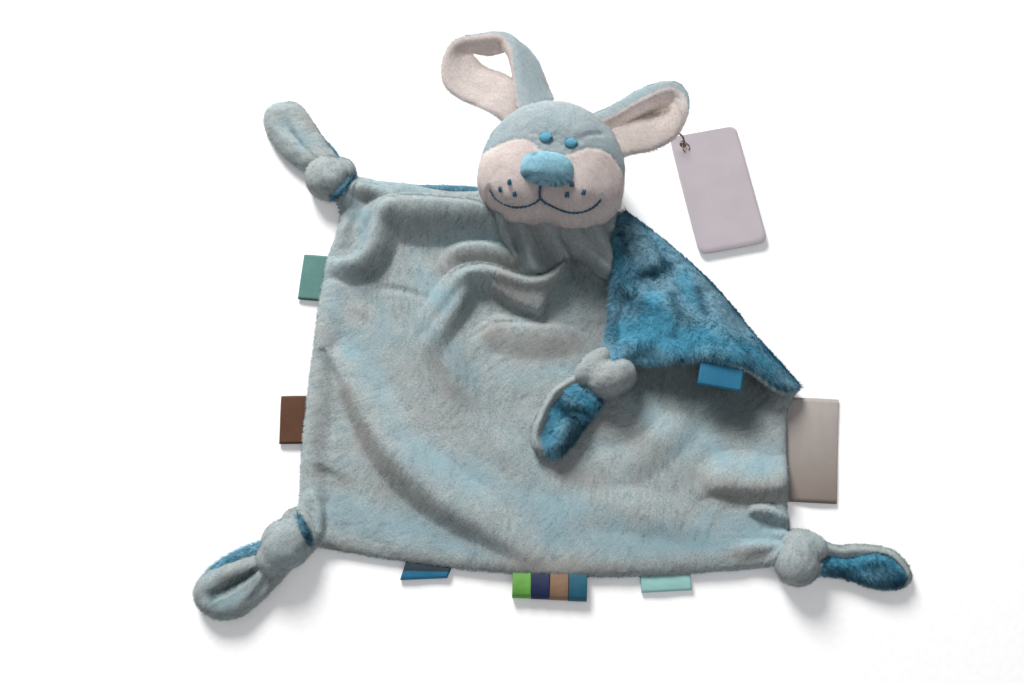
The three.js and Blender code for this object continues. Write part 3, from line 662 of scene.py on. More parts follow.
# Each fold is a row of picture points with its rise there, in mm, and its half
# widths to the left and to the right of the way it runs.
FOLDS = [
    # along the top edge and down its left end
    [(345, 188, 3, 5, 6), (358, 185, 5, 5, 8), (374, 188, 5.5, 6, 8), (390, 193, 5, 7, 7)],
    [(383, 205, 10, 10, 15), (400, 200, 13.5, 10, 20), (425, 200, 14.5, 10, 21), (450, 202, 14, 9, 20),
     (475, 205, 13, 9, 18), (492, 210, 11, 8, 15)],
    [(387, 203, 11, 13, 8), (378, 216, 11, 13, 7), (373, 230, 11, 13, 6.5), (370, 243, 11, 13, 6.5),
     (362, 254, 10, 13, 6.5), (350, 260, 8, 12, 6), (339, 262, 5.5, 10, 5), (329, 263, 2.5, 8, 5)],
    [(347, 212, 2, 6, 6), (343, 226, 2.4, 6, 6), (344, 238, 1.4, 6, 6)],
    # the ridge behind the pouch, and the pouch's crest
    [(446, 264, 1.5, 6, 8), (455, 251, 4, 6, 9), (468, 246, 5.5, 6, 10), (485, 246, 6, 6, 10),
     (502, 251, 5.5, 6, 8), (514, 258, 4, 5, 6)],
    [(428, 322, 1.5, 9, 8), (440, 305, 4.5, 9, 8), (450, 289, 7.5, 9, 9), (459, 277, 10, 9, 9),
     (468, 270.5, 11.5, 9, 9), (479, 268, 12.5, 8.5, 10), (491, 269.5, 13, 8.5, 10),
     (503, 273, 13.5, 8, 10), (516, 277, 14, 8, 10), (530, 280, 14.5, 8, 10), (545, 279, 14, 8, 9),
     (557, 272, 12.5, 7, 8), (566, 260, 9.5, 6, 7)],
    [(468, 274, 10, 8, 9), (464, 288, 8.5, 8.5, 10), (457, 302, 7, 8.5, 10), (448, 316, 5.5, 8, 10),
     (440, 329, 3.6, 8, 10), (433, 341, 1.8, 8, 9), (428, 352, 0.5, 8, 8)],
    # the shallow shelf and creases below the pouch
    [(478, 340, 0.8, 4, 9), (492, 331, 2.6, 6, 13), (515, 328, 3.6, 6, 16), (545, 329, 3.6, 6, 16),
     (568, 332, 2.4, 6, 13), (588, 336, 0.6, 5, 9)],
    [(486, 322, 0.2, 4, 1.4), (500, 320, 1.6, 4, 1.4), (522, 320.5, 1.6, 4, 1.4),
     (548, 321, 0.3, 4, 1.4)],
    [(474, 334, 0.3, 3, 2), (486, 325, 1.4, 3, 2), (500, 323, 0.3, 3, 2)],
    # the long fold to the lower left
    [(320, 346, 0.6, 9, 4), (336, 362, 3.2, 14, 6.5), (352, 388, 4.8, 17, 8), (369, 417, 5.8, 18, 10),
     (388, 444, 7.0, 18, 12), (408, 467, 7.6, 18, 13), (431, 488, 7.6, 18, 13), (457, 507, 6.8, 17, 12),
     (484, 524, 5.2, 16, 10), (510, 541, 3.2, 13, 8), (533, 554, 1, 8, 6)],
    # the left edge's roll, its creases, and the corner above the lower left knot
    [(334, 285, 1.5, 9, 6), (324, 330, 3, 10, 6), (317, 380, 3.2, 10, 6), (311, 430, 3.2, 10, 6),
     (309, 470, 3, 9, 6), (312, 500, 3.5, 8, 6)],
    [(313, 496, 4, 5, 8), (319, 513, 5.5, 4, 8), (319, 531, 5.5, 4, 8)],
    # the lower right: one long lip and a small rolled lobe under it
    [(704, 491, 1.2, 8, 4), (714, 485, 4.2, 14, 6.5), (730, 483, 6.4, 18, 8.5), (748, 484, 7.2, 19, 9.5),
     (766, 485, 7.2, 18, 9.5), (781, 483, 6.6, 16, 8), (793, 479, 6, 14, 6.5)],
    [(757, 509, 5, 3.5, 4), (768, 509, 7, 4, 5), (781, 514, 7.5, 4.5, 5.5), (793, 522, 6, 4, 5)],
    [(740, 548, 0.6, 4, 6), (760, 546, 3, 4, 6), (778, 545, 4.5, 4, 6), (790, 547, 5, 4, 5)],
    [(768, 534, 1, 4, 5), (785, 534, 4, 4, 5), (797, 538, 5, 4, 5)],
    [(772, 566, 2, 4, 4), (777, 556, 5, 4, 4), (785, 547, 6, 4, 4)],
    # broad swells
    [(600, 474, 0.4, 12, 12), (640, 456, 2.2, 11, 12), (672, 432, 2.2, 10, 11), (692, 410, 0.6, 9, 10)],
    [(560, 520, 0.4, 12, 12), (610, 505, 1.8, 12, 13), (660, 515, 1.8, 12, 12), (700, 530, 0.4, 9, 10)],
    [(478, 428, 0.4, 10, 12), (505, 446, 1.6, 10, 12), (528, 474, 0.4, 9, 9)],
    [(575, 405, 0.4, 8, 10), (600, 425, 1.4, 8, 10), (640, 430, 0.4, 8, 9)],
]


def folds_of(rows, base):
    """Rows of picture points as plan lines with rise and half widths."""
    out = []
    for row in rows:
        a = np.array(row, float)
        p = spot(a[:, 0], a[:, 1], base + a[:, 2])
        out.append(Line(np.c_[p[:, :2], a[:, 2:]], plan=True)(np.linspace(0, 1, 6 * len(row))))
    return out


def swell(d):
    """A fold's section: a full round top that eases out at its foot."""
    d = clamp(d)
    return mix((0.5 + 0.5 * np.cos(np.pi * d)) ** 0.8, 1 - d * d, 0.3)


def ridges(lines, x, y, power=4):
    """Smoothly joined folds, each with its own section."""
    total = np.zeros(len(x))
    for line in lines:
        reach = line[:, 3:].max() + 1
        m = ((x > line[:, 0].min() - reach) & (x < line[:, 0].max() + reach)
             & (y > line[:, 1].min() - reach) & (y < line[:, 1].max() + reach))
        d, (rise, wl, wr), side = near(line, x[m], y[m])
        total[m] += (rise * swell(d / mix(wr, wl, 0.5 + 0.5 * side))) ** power
    return total ** (1 / power)


# The height that a fold's own rise is added to, and the heights of the bands of the nap
FOLD_FOOT = 5.5
DENT_FOOT = 7
FRONT_H = 7
FLAP_FOOT = 14
FLAP_H = 15
FOLD_LINES = folds_of(FOLDS, FOLD_FOOT)
DENT_LINES = folds_of([
    [(316, 468, 0.4, 3, 3), (328, 473, 1.1, 3.5, 3.5), (340, 478, 0.5, 3, 3)],
    [(322, 352, 1.6, 3, 3), (330, 366, 1.4, 3, 3), (340, 384, 0.6, 3, 3)],
    [(380, 286, 0.4, 3, 3), (400, 288, 0.9, 3, 3), (424, 296, 0.4, 3, 3)],
    [(556, 322, 0.2, 2, 2), (574, 326, 0.8, 2.5, 2.5), (592, 334, 0.2, 2, 2)],
    [(352, 296, 0.4, 6, 6), (366, 300, 1.0, 7, 6), (380, 312, 0.3, 6, 6)],
], DENT_FOOT)
POUCH_PX = [(481, 284), (487, 289), (495, 295), (507, 303), (520, 309), (532, 313.5), (540, 315.5),
            (545, 311), (549, 301), (554, 291), (561, 279), (568, 265), (563, 252), (546, 261),
            (530, 263), (510, 258), (490, 252), (474, 256)]
POUCH = spot([p[0] for p in POUCH_PX], [p[1] for p in POUCH_PX],
             [8.5] * 10 + [14, 16, 18, 19, 19, 19, 18, 17])[:, :2]
POUCH_LIP = Line(POUCH[:12])(np.linspace(0, 1, 50))
POUCH_CREST = FOLD_LINES[5]


def inside(poly, x, y):
    """Which points lie inside a closed plan line."""
    hit = np.zeros(len(x), bool)
    for (x0, y0), (x1, y1) in zip(poly, np.roll(poly, -1, 0)):
        m = ((y0 > y) != (y1 > y)) & (x < (x1 - x0) * (y - y0) / (y1 - y0 + 1e-12) + x0)
        hit ^= m
    return hit


def pouch(x, y):
    """The hanging front of the pouch: it slopes from the crest to a full lip."""
    d_lip = near(POUCH_LIP, x, y)[0]
    d_top = near(POUCH_CREST, x, y)[0]
    within = inside(POUCH, x, y)
    t = d_lip / (d_lip + d_top + 1e-6)
    behind = d_top * near(POUCH_CREST, x, y)[2]
    body = mix(7.4, 13.2, t) * mix(1, ease(1 - behind / 2.6), behind > 0)
    aside = near(Line(POUCH[[0, -1]])(np.linspace(0, 1, 9)), x, y)[0]
    return np.where(within, body * rounded(d_lip + 0.35, 3.4) * ease(aside / 8), 0)


def rounded(d, r):
    """From 0 at an edge to 1 at r in, as a quarter round."""
    return np.sqrt(clamp(1 - (1 - clamp(d / r)) ** 2))


def lift(x, y):
    """How far the cloth stands above its flat height."""
    total = (ridges(FOLD_LINES, x, y) ** 12 + pouch(x, y) ** 12) ** (1 / 3)
    for at in (UL, LL, LR):
        dx, dy = x - at[0], y - at[1]
        d = np.hypot(dx, dy)
        pleat = 1 + 0.28 * np.cos(9 * np.arctan2(dy, dx) + 0.6) * bell(d - 14, 20)
        total += (6.2 * bell(d, 27) * pleat) ** 4
    p = np.stack([x, y], 1)
    low = 0.6 * (1 + noise(p, 24, 3)) + 0.25 * noise(p, 9, 4)
    return total ** 0.25 + low - ridges(DENT_LINES, x, y)


# Bands of the nap by picture points: half width in mm, and blue (+) or grey (-); several grey bands are
# also painted shade on fold slopes and in hollows
BANDS = [
    (6, 0.9, [(360, 212), (366, 222), (362, 236)]), (5, 0.8, [(452, 296), (446, 306), (440, 300)]),
    (7, 0.8, [(440, 243), (470, 239), (500, 241)]), (6, 0.7, [(416, 250), (426, 280), (440, 300)]),
    (6, 0.5, [(334, 304), (340, 330), (352, 350)]), (6, 0.5, [(378, 300), (384, 330), (380, 350)]),
    (10, 0.9, [(352, 345), (372, 378), (390, 410), (408, 440), (440, 462), (480, 480), (520, 495),
               (570, 503)]),
    (6, 0.6, [(452, 350), (462, 372), (476, 388)]), (7, 0.7, [(500, 372), (540, 372), (575, 366)]),
    (12, 0.9, [(340, 514), (370, 517), (410, 525), (450, 537), (478, 548)]),
    (4, -0.9, [(330, 546), (400, 553), (500, 565), (590, 569), (690, 562), (760, 554)]),
    (12, 1.2, [(560, 535), (620, 540), (680, 542), (740, 541), (780, 536)]),
    (8, 0.9, [(722, 462), (745, 468), (770, 462)]), (7, 0.8, [(716, 508), (740, 516), (760, 526)]),
    (9, 0.9, [(640, 400), (665, 425), (700, 440), (720, 446)]),
    (6, 0.6, [(690, 500), (706, 520), (700, 540)]),
    (7, 0.8, [(345, 182), (370, 180), (420, 188)]),
    (5, -0.8, [(364, 190), (368, 200)]), (4, -0.7, [(352, 226), (356, 240)]),
    (8, -0.9, [(450, 258), (480, 258), (510, 262)]), (7, -1.0, [(505, 290), (530, 300), (550, 285)]),
    (9, -1.0, [(497, 334), (520, 343), (548, 348), (570, 344)]),
    (6, -0.8, [(430, 352), (440, 380), (462, 398)]),
    (5, -0.9, [(346, 392), (362, 432)]),
    (7, -1.0, [(366, 440), (384, 468), (410, 494), (444, 518), (486, 542)]),
    (6, -0.7, [(322, 400), (318, 440)]), (5, -1.0, [(318, 466), (330, 476), (345, 480)]),
    (7, -0.7, [(505, 545), (545, 560), (580, 566)]), (8, -0.6, [(640, 480), (650, 450), (668, 430)]),
    (8, -0.6, [(690, 505), (680, 480), (702, 470)]), (7, -0.7, [(560, 470), (600, 480)]),
    (8, -1.0, [(716, 492), (745, 495), (780, 492)]), (7, -0.7, [(600, 425), (640, 436)]),
    (6, -0.8, [(746, 556), (766, 552)]), (6, -0.6, [(350, 306), (360, 312)]),
]


def bands_of(rows, z):
    """Bands of the nap, from picture points to plan lines at height z."""
    out = []
    for half, k, pts in rows:
        p = spot([q[0] for q in pts], [q[1] for q in pts], z)[:, :2]
        out.append((half, k, Line(p)(np.linspace(0, 1, 6 * len(pts))) if len(pts) > 1 else p))
    return out


def painted(rows, x, y, seed, wander=0.25):
    """The bands' sum at points, each fading at its wandering edge."""
    p = np.stack([x, y], 1)
    out = np.zeros(len(x))
    loose = 1 + wander * noise(p, 8, seed)
    for half, k, line in rows:
        line = np.vstack([line, line[-1:] + 0.01]) if len(line) == 1 else line
        out += k * bell(near(line[:, :2], x, y)[0] * loose, half * 1.5)
    return out


BAND_LINES = bands_of(BANDS, FRONT_H)
# Painted shade: on fold slopes that face away from the light, in creases and hollows, under the flap's
# edge as its cast shadow, beside the neck and along the bottom rim
FRONT_SHADE = bands_of([
    (9, 0.2, [(400, 222), (440, 224), (480, 228)]),
    (4, 0.3, [(345, 268), (372, 276), (386, 264), (393, 244)]),
    (4, 0.3, [(366, 192), (372, 202)]), (9, 0.24, [(452, 345), (462, 372), (474, 396)]),
    (5, 0.16, [(430, 350), (444, 378), (456, 392)]),
    (8, 0.2, [(388, 474), (412, 500), (448, 522), (486, 541)]),
    (4, 0.28, [(322, 358), (330, 366)]), (4, 0.3, [(322, 470), (334, 476), (343, 480)]),
    (12, 0.6, [(640, 382), (700, 386), (750, 392)]), (10, 0.5, [(690, 405), (720, 412), (745, 422)]),
    (6, 0.25, [(760, 378), (764, 400), (762, 420)]), (6, 0.4, [(560, 262), (580, 275), (600, 285)]),
    (6, 0.2, [(560, 290), (580, 294), (605, 300)]), (4, 0.2, [(462, 290), (470, 300), (466, 312)]),
    (4, 0.18, [(330, 548), (400, 555), (500, 566)]), (4, 0.18, [(590, 569), (680, 564), (760, 556)]),
], FRONT_H)


def tone_at(x, y):
    """The front's bluer (+) and greyer (-) zones, the greyer ones partly painted shade."""
    p = np.stack([x, y], 1)
    own = 0.3 * noise(p, 22, 8) + 0.25 * noise(p, 8, 9) - 0.04
    return clamp(own + 0.85 * painted(BAND_LINES, x, y, 12), -1, 1)


def packed(n, tight=(0, 0.0012, 0.003, 0.0055, 0.009, 0.014, 0.02)):
    """Grid steps that crowd at both ends."""
    t = np.array(tight)
    return np.r_[t, np.linspace(0.028, 0.972, n), 1 - t[::-1]]


def coons(low, high, left, right, us, vs):
    """A grid of plan points stretched between four edges."""
    u, v = np.meshgrid(us, vs)
    u, v = u.ravel()[:, None], v.ravel()[:, None]
    L, H = np.tile(low, (len(vs), 1)), np.tile(high, (len(vs), 1))
    A, B = np.repeat(left, len(us), 0), np.repeat(right, len(us), 0)
    c00, c10, c01, c11 = low[0], low[-1], high[0], high[-1]
    corner = mix(mix(c00, c10, u), mix(c01, c11, u), v)
    return (mix(L, H, v) + mix(A, B, u) - corner)[:, :2]


us, vs = packed(330), packed(260)
share = 0.4
right = np.where((vs < share)[:, None], E_RIGHT(1 - vs / share), E_FOLD(1 - (vs - share) / (1 - share)))
plan = coons(E_BOTTOM(us), E_TOP(us), E_LEFT(vs), right, us, vs)
px, py = plan[:, 0], plan[:, 1]
blanket_faces = quads(len(us), len(vs))
OUTLINE = {
    "top": E_TOP(np.linspace(0, 1, 50)), "right": E_RIGHT(np.linspace(0, 1, 30)),
    "bottom": E_BOTTOM(np.linspace(0, 1, 60)), "left": E_LEFT(np.linspace(0, 1, 50)),
    "fold": E_FOLD(np.linspace(0, 1, 40)),
}
edge_d = {k: near(line[:, :2], px, py)[0] for k, line in OUTLINE.items()}
edge = np.minimum.reduce([edge_d[k] for k in ("top", "right", "bottom", "left")])
rise = lift(px, py)

# Heights and rolls in mm: the seam, the cloth where it lies flat, how wide the front's
# edge, the back's edge and the crease roll, and where and how far the back peeks out
SEAM_H = 2.7
FLAT_H = 5.1
FRONT_ROLL = 5.0
BACK_ROLL = 3.2
CREASE_ROLL = 5.3
CREASE_H = 5.6
BACK_H = 0.25
PEEK_AT = -52
PEEK = 3.3
peek = PEEK * bell(px - PEEK_AT, 32)

# Front panel
d_front = np.where(edge_d["top"] <= edge + 0.01, edge - peek, edge)
scallop = 1 + 0.25 * noise(plan, 7, 21)
front_z = mix(SEAM_H, FLAT_H + rise, rounded(d_front, FRONT_ROLL * scallop))
front_z = np.where(d_front < 0, 2.0, front_z)
front_v = np.c_[px, py, front_z]
flap_poly = np.vstack([E_FOLD(np.linspace(0, 1, 20)), E_FLAP_LOW(np.linspace(0, 1, 20)),
                       E_FLAP_LEFT(np.linspace(1, 0, 20))])[:, :2]
under_flap = inside(flap_poly, px, py) & (near(OUTLINE["fold"][:, :2], px, py)[0] < 80)
low_line = E_FLAP_LOW(np.linspace(0, 1, 40))[:, :2]
deep = under_flap & (near(low_line, px, py)[0] > 10)
thin = np.where(deep, 0.25, 1.0) * np.where(d_front < 0.1, 0.0, 1.0)
thin = thin * np.where(np.hypot(px - 0.5, py - 104.5) < 30, 0.2, 1.0)
front, _ = dress("blanket_front", front_v, blanket_faces, "pale", "blanket", ["blanket_front_panel"],
                 per_mm2=3.7, length=2.0, tone=tone_at(px, py),
                 dark=clamp(painted(FRONT_SHADE, px, py, 13), 0, 0.62), width=0.38, lean=1.2, seed=21,
                 density=thin, nap=lambda p, n: nap_of(p, n, base=-2.2, turn=1.1, size=30, seed=5))

# Back panel: its edge turns up to the seam, and round the crease up to the fold
back_z = mix(SEAM_H, BACK_H, rounded(edge, BACK_ROLL))
rolled_z = mix(CREASE_H, BACK_H, rounded(edge_d["fold"], CREASE_ROLL))
back_z = np.where(edge_d["fold"] < CREASE_ROLL, rolled_z, back_z)
back_z = np.minimum(back_z, front_z - 0.2)
back_v = np.c_[px, py, np.maximum(back_z, 0.15)]
ts = np.linspace(0.22, 0.66, 70)
tp = E_TOP(ts)
taper = np.sqrt(bell(tp[:, 0] - PEEK_AT, 34))
tp = tp - np.c_[0 * taper, 2.1 * np.ones(70), -2.4 * np.ones(70)]
peek_tube = tube(tp, np.c_[2.4 * taper + 0.05, 2.2 * taper + 0.05], 12)
rimmed_v, rimmed_f = joined((back_v, blanket_faces[:, ::-1]), peek_tube)
tone_b = clamp(0.6 * noise(rimmed_v, 16, 31) + 0.3 * noise(rimmed_v, 6, 32), -1, 1)
rim = np.r_[np.where(edge < BACK_ROLL, 1.0, 0.25), np.ones(len(peek_tube[0]))]
back, _ = dress("blanket_back", rimmed_v, rimmed_f, "blue", "blanket", ["blanket_back_panel"],
                per_mm2=3.4, length=1.7, tone=tone_b, width=0.4, lean=1.1, seed=22, density=rim)


# Folded corner
CREASE = np.array([FB[0] - FA[0], FB[1] - FA[1]], float)


def from_crease(x, y):
    """How far a point lies in from the fold."""
    return ((FA[1] - y) * CREASE[0] - (FA[0] - x) * CREASE[1]) / np.linalg.norm(CREASE)


FLAP_FOLDS = folds_of([
    [(634, 222, 1, 5, 5), (645, 238, 3.2, 6, 6), (654, 254, 3.6, 7, 6), (660, 270, 2.8, 8, 5),
     (672, 290, 1, 8, 6)],
    [(684, 262, 0.6, 8, 6), (700, 284, 2.6, 10, 8), (716, 310, 3.2, 11, 9), (728, 334, 2.4, 11, 9),
     (744, 352, 0.8, 9, 8)],
    [(618, 236, 1.4, 4, 5), (615, 262, 2.6, 4, 6), (618, 288, 2.0, 4, 6), (613, 318, 2.6, 4, 6),
     (614, 340, 2, 4, 6)],
    [(640, 300, 0.6, 6, 7), (664, 306, 2.0, 7, 8), (684, 330, 1.8, 8, 8), (690, 350, 0.6, 6, 7)],
    [(624, 350, 2.2, 5, 7), (640, 345, 3.2, 6, 7), (660, 347, 2.0, 6, 7), (676, 352, 0.6, 5, 6)],
    [(740, 330, 0.5, 7, 8), (758, 350, 1.8, 8, 8), (778, 368, 1.4, 6, 6)],
], FLAP_FOOT)
# Bands of the flap's nap: bluer (+) zones, and greyer (-) ones that are painted sheen on its ridges and
# painted light along the crease
FLAP_TONE_AND_SHEEN = bands_of([
    (4, -1.1, [(636, 228), (645, 240), (655, 256)]), (9, -0.7, [(704, 282), (718, 306), (730, 330)]),
    (4, -0.8, [(658, 284), (676, 290)]), (8, 1.0, [(625, 330), (640, 336), (655, 326)]),
    (4.5, -0.8, [(652, 228), (690, 268), (730, 314), (768, 360), (788, 384)]),
    (9, 1.1, [(650, 302), (662, 322), (668, 334)]), (9, 1.1, [(682, 348), (708, 340), (726, 350)]),
    (6, -0.8, [(642, 252), (656, 262), (676, 268)]),
    (4, 0.9, [(648, 224), (660, 240)]), (6, 0.8, [(688, 268), (700, 300)]),
    (5, 0.8, [(748, 348), (772, 368)]),
    (5, 0.6, [(616, 250), (620, 280)]),
], FLAP_H)
# Painted shade in the flap's hollows and along its lower edge
FLAP_SHADE = bands_of([
    (5, 0.95, [(644, 274), (655, 270), (668, 267)]), (3.5, 0.7, [(624, 232), (628, 252)]),
    (5, 0.8, [(622, 296), (634, 300), (642, 306)]), (3.5, 0.6, [(672, 300), (680, 318), (672, 336)]),
    (3, 0.7, [(700, 290), (706, 312)]), (4, 0.7, [(612, 318), (612, 338)]),
    (5, 0.7, [(630, 358), (650, 352)]),
    (4.5, 0.6, [(680, 362), (720, 362), (752, 370), (784, 388)]), (3, 0.5, [(660, 258), (676, 262)]),
], FLAP_H)
LOW_EDGE = E_FLAP_LOW(np.linspace(0, 1, 50))[:, :2]
LEFT_EDGE = E_FLAP_LEFT(np.linspace(0, 1, 40))[:, :2]


def flap_low(x, y):
    """The height of the folded corner's underside: it lies on the blanket and arches."""
    s = from_crease(x, y)
    body = 3.5 * clamp(s / 22) ** 2
    ray = np.arctan2(y - KF[1], x - KF[0])
    pleat = 1.5 * clamp(s / 30) * (0.5 + 0.5 * np.cos(7 * ray))
    bunch = 4.6 * bell(np.hypot(x - KF[0], y - KF[1]), 30)
    arch = 10.5 * bell(x - 86, 58) * bell(near(LOW_EDGE, x, y)[0], 42) * clamp(s / 14)
    return 5.9 + lift(x, y) + body + pleat + bunch + arch


fu, fv = packed(190), np.r_[0, 0.004, 0.012, 0.024, 0.04, 0.06, np.linspace(0.08, 0.975, 140)]
crease = E_FOLD(fu)
tip_line = np.tile(np.array([[KF[0], KF[1], 0.0]]), (len(fu), 1))
flap_plan = coons(crease, tip_line, E_FLAP_LEFT(fv), E_FLAP_LOW(fv), fu, fv)
fx, fy = flap_plan[:, 0], flap_plan[:, 1]
low = flap_low(fx, fy)
more = ridges(FLAP_FOLDS, fx, fy) + 0.4 * noise(flap_plan, 8, 41) + 0.5 * noise(flap_plan, 18, 40)
FLAP_HOLLOWS = [((652, 275), 2.4, 8), ((633, 300), 2.0, 7), ((700, 352), 1.2, 9)]
for at, depth, wide in FLAP_HOLLOWS:
    q = spot(*at, FLAP_FOOT)[0]
    more -= depth * bell(np.hypot(fx - q[0], (fy - q[1]) * 1.4), wide)
d_seam = np.minimum(near(LOW_EDGE, fx, fy)[0], near(LEFT_EDGE, fx, fy)[0])
d_fold = near(OUTLINE["fold"][:, :2], fx, fy)[0]
FLAP_SEAM_H = 2.3
FLAP_TOP_H = 5.4
FLAP_ROLL = 5.4
UNDER_ROLL = 3.0
flap_roll = FLAP_ROLL * (1 + 0.2 * noise(flap_plan, 6, 42))
over_z = mix(low + FLAP_SEAM_H, low + FLAP_TOP_H + more, rounded(d_seam, flap_roll))
over_z = np.where(d_fold < CREASE_ROLL, mix(5.7, over_z, rounded(d_fold, CREASE_ROLL)), over_z)
under_z = mix(low + FLAP_SEAM_H, low + 0.1, rounded(d_seam, UNDER_ROLL))
under_z = np.where(d_fold < UNDER_ROLL, mix(CREASE_H, under_z, rounded(d_fold, UNDER_ROLL)), under_z)
flap_faces = quads(len(fu), len(fv))
over_v = np.c_[fx, fy, over_z]
under_v = np.c_[fx, fy, under_z]
flap_faces = facing(over_v, flap_faces, 1)
tone_f = 0.5 * noise(over_v, 14, 43) + 0.3 * noise(over_v, 6, 44)
tone_f = clamp(tone_f + painted(FLAP_TONE_AND_SHEEN, fx, fy, 45), -1, 1)
# Painted shade from those bands, with random darker patches
shade_f = clamp(painted(FLAP_SHADE, fx, fy, 46) + 0.25 * noise(over_v, 7, 49), 0, 1)
near_knot = np.hypot(fx - KF[0], fy - KF[1])


def nap_flap(p, n):
    """The flap's pile lies down and to the left, and hangs over its lower edge."""
    a = -2.5 + 1.1 * noise(p, 18, 46) + 0.5 * noise(p, 7, 47)
    k = bell(near(LOW_EDGE, p[:, 0], p[:, 1])[0], 14)
    a = mix(a, -1.5 + 0.5 * noise(p, 5, 48), k)
    d = np.stack([np.cos(a), np.sin(a), 0 * a], 1)
    out = p - np.array([KF[0], KF[1], 12])
    d = d + unit(out) * (1.8 * bell(np.hypot(out[:, 0], out[:, 1]), 26))[:, None]
    return along_surface(d, n)


flap_top, _ = dress("folded_corner_top", over_v, flap_faces, "blue", "folded_corner",
                    ["folded_corner_top_ply"], per_mm2=6.0, length=3.0, tone=tone_f, dark=shade_f,
                    width=0.42, lean=1.12, seed=23, nap=nap_flap, tufts=0.4, tuft=2.6, flat=0.25,
                    long_by=1 + 0.5 * bell(near_knot, 26) - 0.25 * bell(d_fold, 8))

# Longer strands stand out round the knot and hang over the lower edge
low_d, left_d = near(LOW_EDGE, fx, fy)[0], near(LEFT_EDGE, fx, fy)[0]
tuft_density = 1.0 * bell(near_knot - 6, 22) + 0.55 * bell(low_d, 9) + 0.35 * bell(left_d, 6)
tufts = pile("folded_corner_tufts", "blue", "folded_corner", over_v, flap_faces, 3.4, 4.2, width=0.5,
             lean=0.95, seed=231, density=clamp(tuft_density, 0, 1.4), tone=tone_f, dark=shade_f * 0.5,
             nap=nap_flap, wild=0.5, tufts=0.45, tuft=3.4)

# The pale ply shows as a rim below the blue one, widest to the right
rim_t = np.linspace(0.012, 0.62, 90)
rim_p = E_FLAP_LOW(rim_t)
rim_n = E_FLAP_LOW.along(rim_t)
rim_out = np.stack([rim_n[:, 1], -rim_n[:, 0], 0 * rim_t], 1)
if rim_out[:, 1].mean() > 0:
    rim_out = -rim_out
rim_r = mix(1.5, 0.5, ease((rim_t - 0.16) / 0.4)) * np.sqrt(clamp(rim_t / 0.05))
rim_c = rim_p + rim_out * (0.2 + 0.35 * rim_r[:, None])
rim_c[:, 2] = flap_low(rim_p[:, 0], rim_p[:, 1]) + 1.0
ply_v, ply_f = joined((under_v, flap_faces[:, ::-1]), tube(rim_c, np.c_[rim_r, rim_r * 0.8 + 0.1], 12))
dens_u = np.r_[np.where(d_seam < UNDER_ROLL, 1.6, 0.35), 1.6 * np.ones(12 * 90)]
flap_under, _ = dress("folded_corner_under", ply_v, ply_f, "ivory", "folded_corner",
                      ["folded_corner_under_ply"], per_mm2=2.4, length=1.5, width=0.36, lean=1.1, seed=24,
                      density=dens_u)

# The crease itself: cloth that rolls from the back panel up onto the flap
rt = np.linspace(0.012, 0.988, 160)
rp = E_FOLD(rt)
rn = E_FOLD.along(rt)
out_dir = np.stack([-rn[:, 1], rn[:, 0], 0 * rt], 1)
ang = np.linspace(-math.pi / 2 - 0.1, math.pi / 2 - 0.35, 19)
cap = np.sqrt(clamp(np.minimum(rt, 1 - rt) / 0.03))[:, None]
ridge = 5.45 + 0.12 * noise(rp, 8, 51)[:, None]
roll = (rp[:, None] + out_dir[:, None] * ((np.cos(ang)[None] * ridge - 5.35)[:, :, None])
        + np.array([0, 0, 1.0]) * (5.65 + np.sin(ang)[None] * (ridge - 0.05) * cap)[:, :, None])
roll[:, :, 2] += lift(rp[:, 0], rp[:, 1])[:, None] * clamp(np.sin(ang)[None]) * 0.6
roll = roll.reshape(-1, 3)
roll_f = facing_along(roll, quads(len(ang), len(rt)), np.repeat(out_dir, len(ang), 0))
roll_tone = clamp(0.3 + 0.6 * noise(roll, 14, 52), -1, 1)
# The paler rim kind is painted light along the crease
roll_o, roll_h = dress("crease_roll", roll, roll_f, "rim", None, [], per_mm2=4.5, length=1.6, flat=0.8,
                       tone=roll_tone, width=0.36, lean=1.15, seed=25, nap=nap_flap)
mid_fold = E_FOLD(0.5)
for o in (roll_o, roll_h):
    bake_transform(o)


# Knots and tails
def ball_of(level):
    """An even ball of radius 1."""
    work = bmesh.new()
    bmesh.ops.create_icosphere(work, subdivisions=level, radius=1)
    v = np.array([point.co[:] for point in work.verts])
    f = np.array([[point.index for point in face.verts] for face in work.faces])
    work.free()
    return v, f


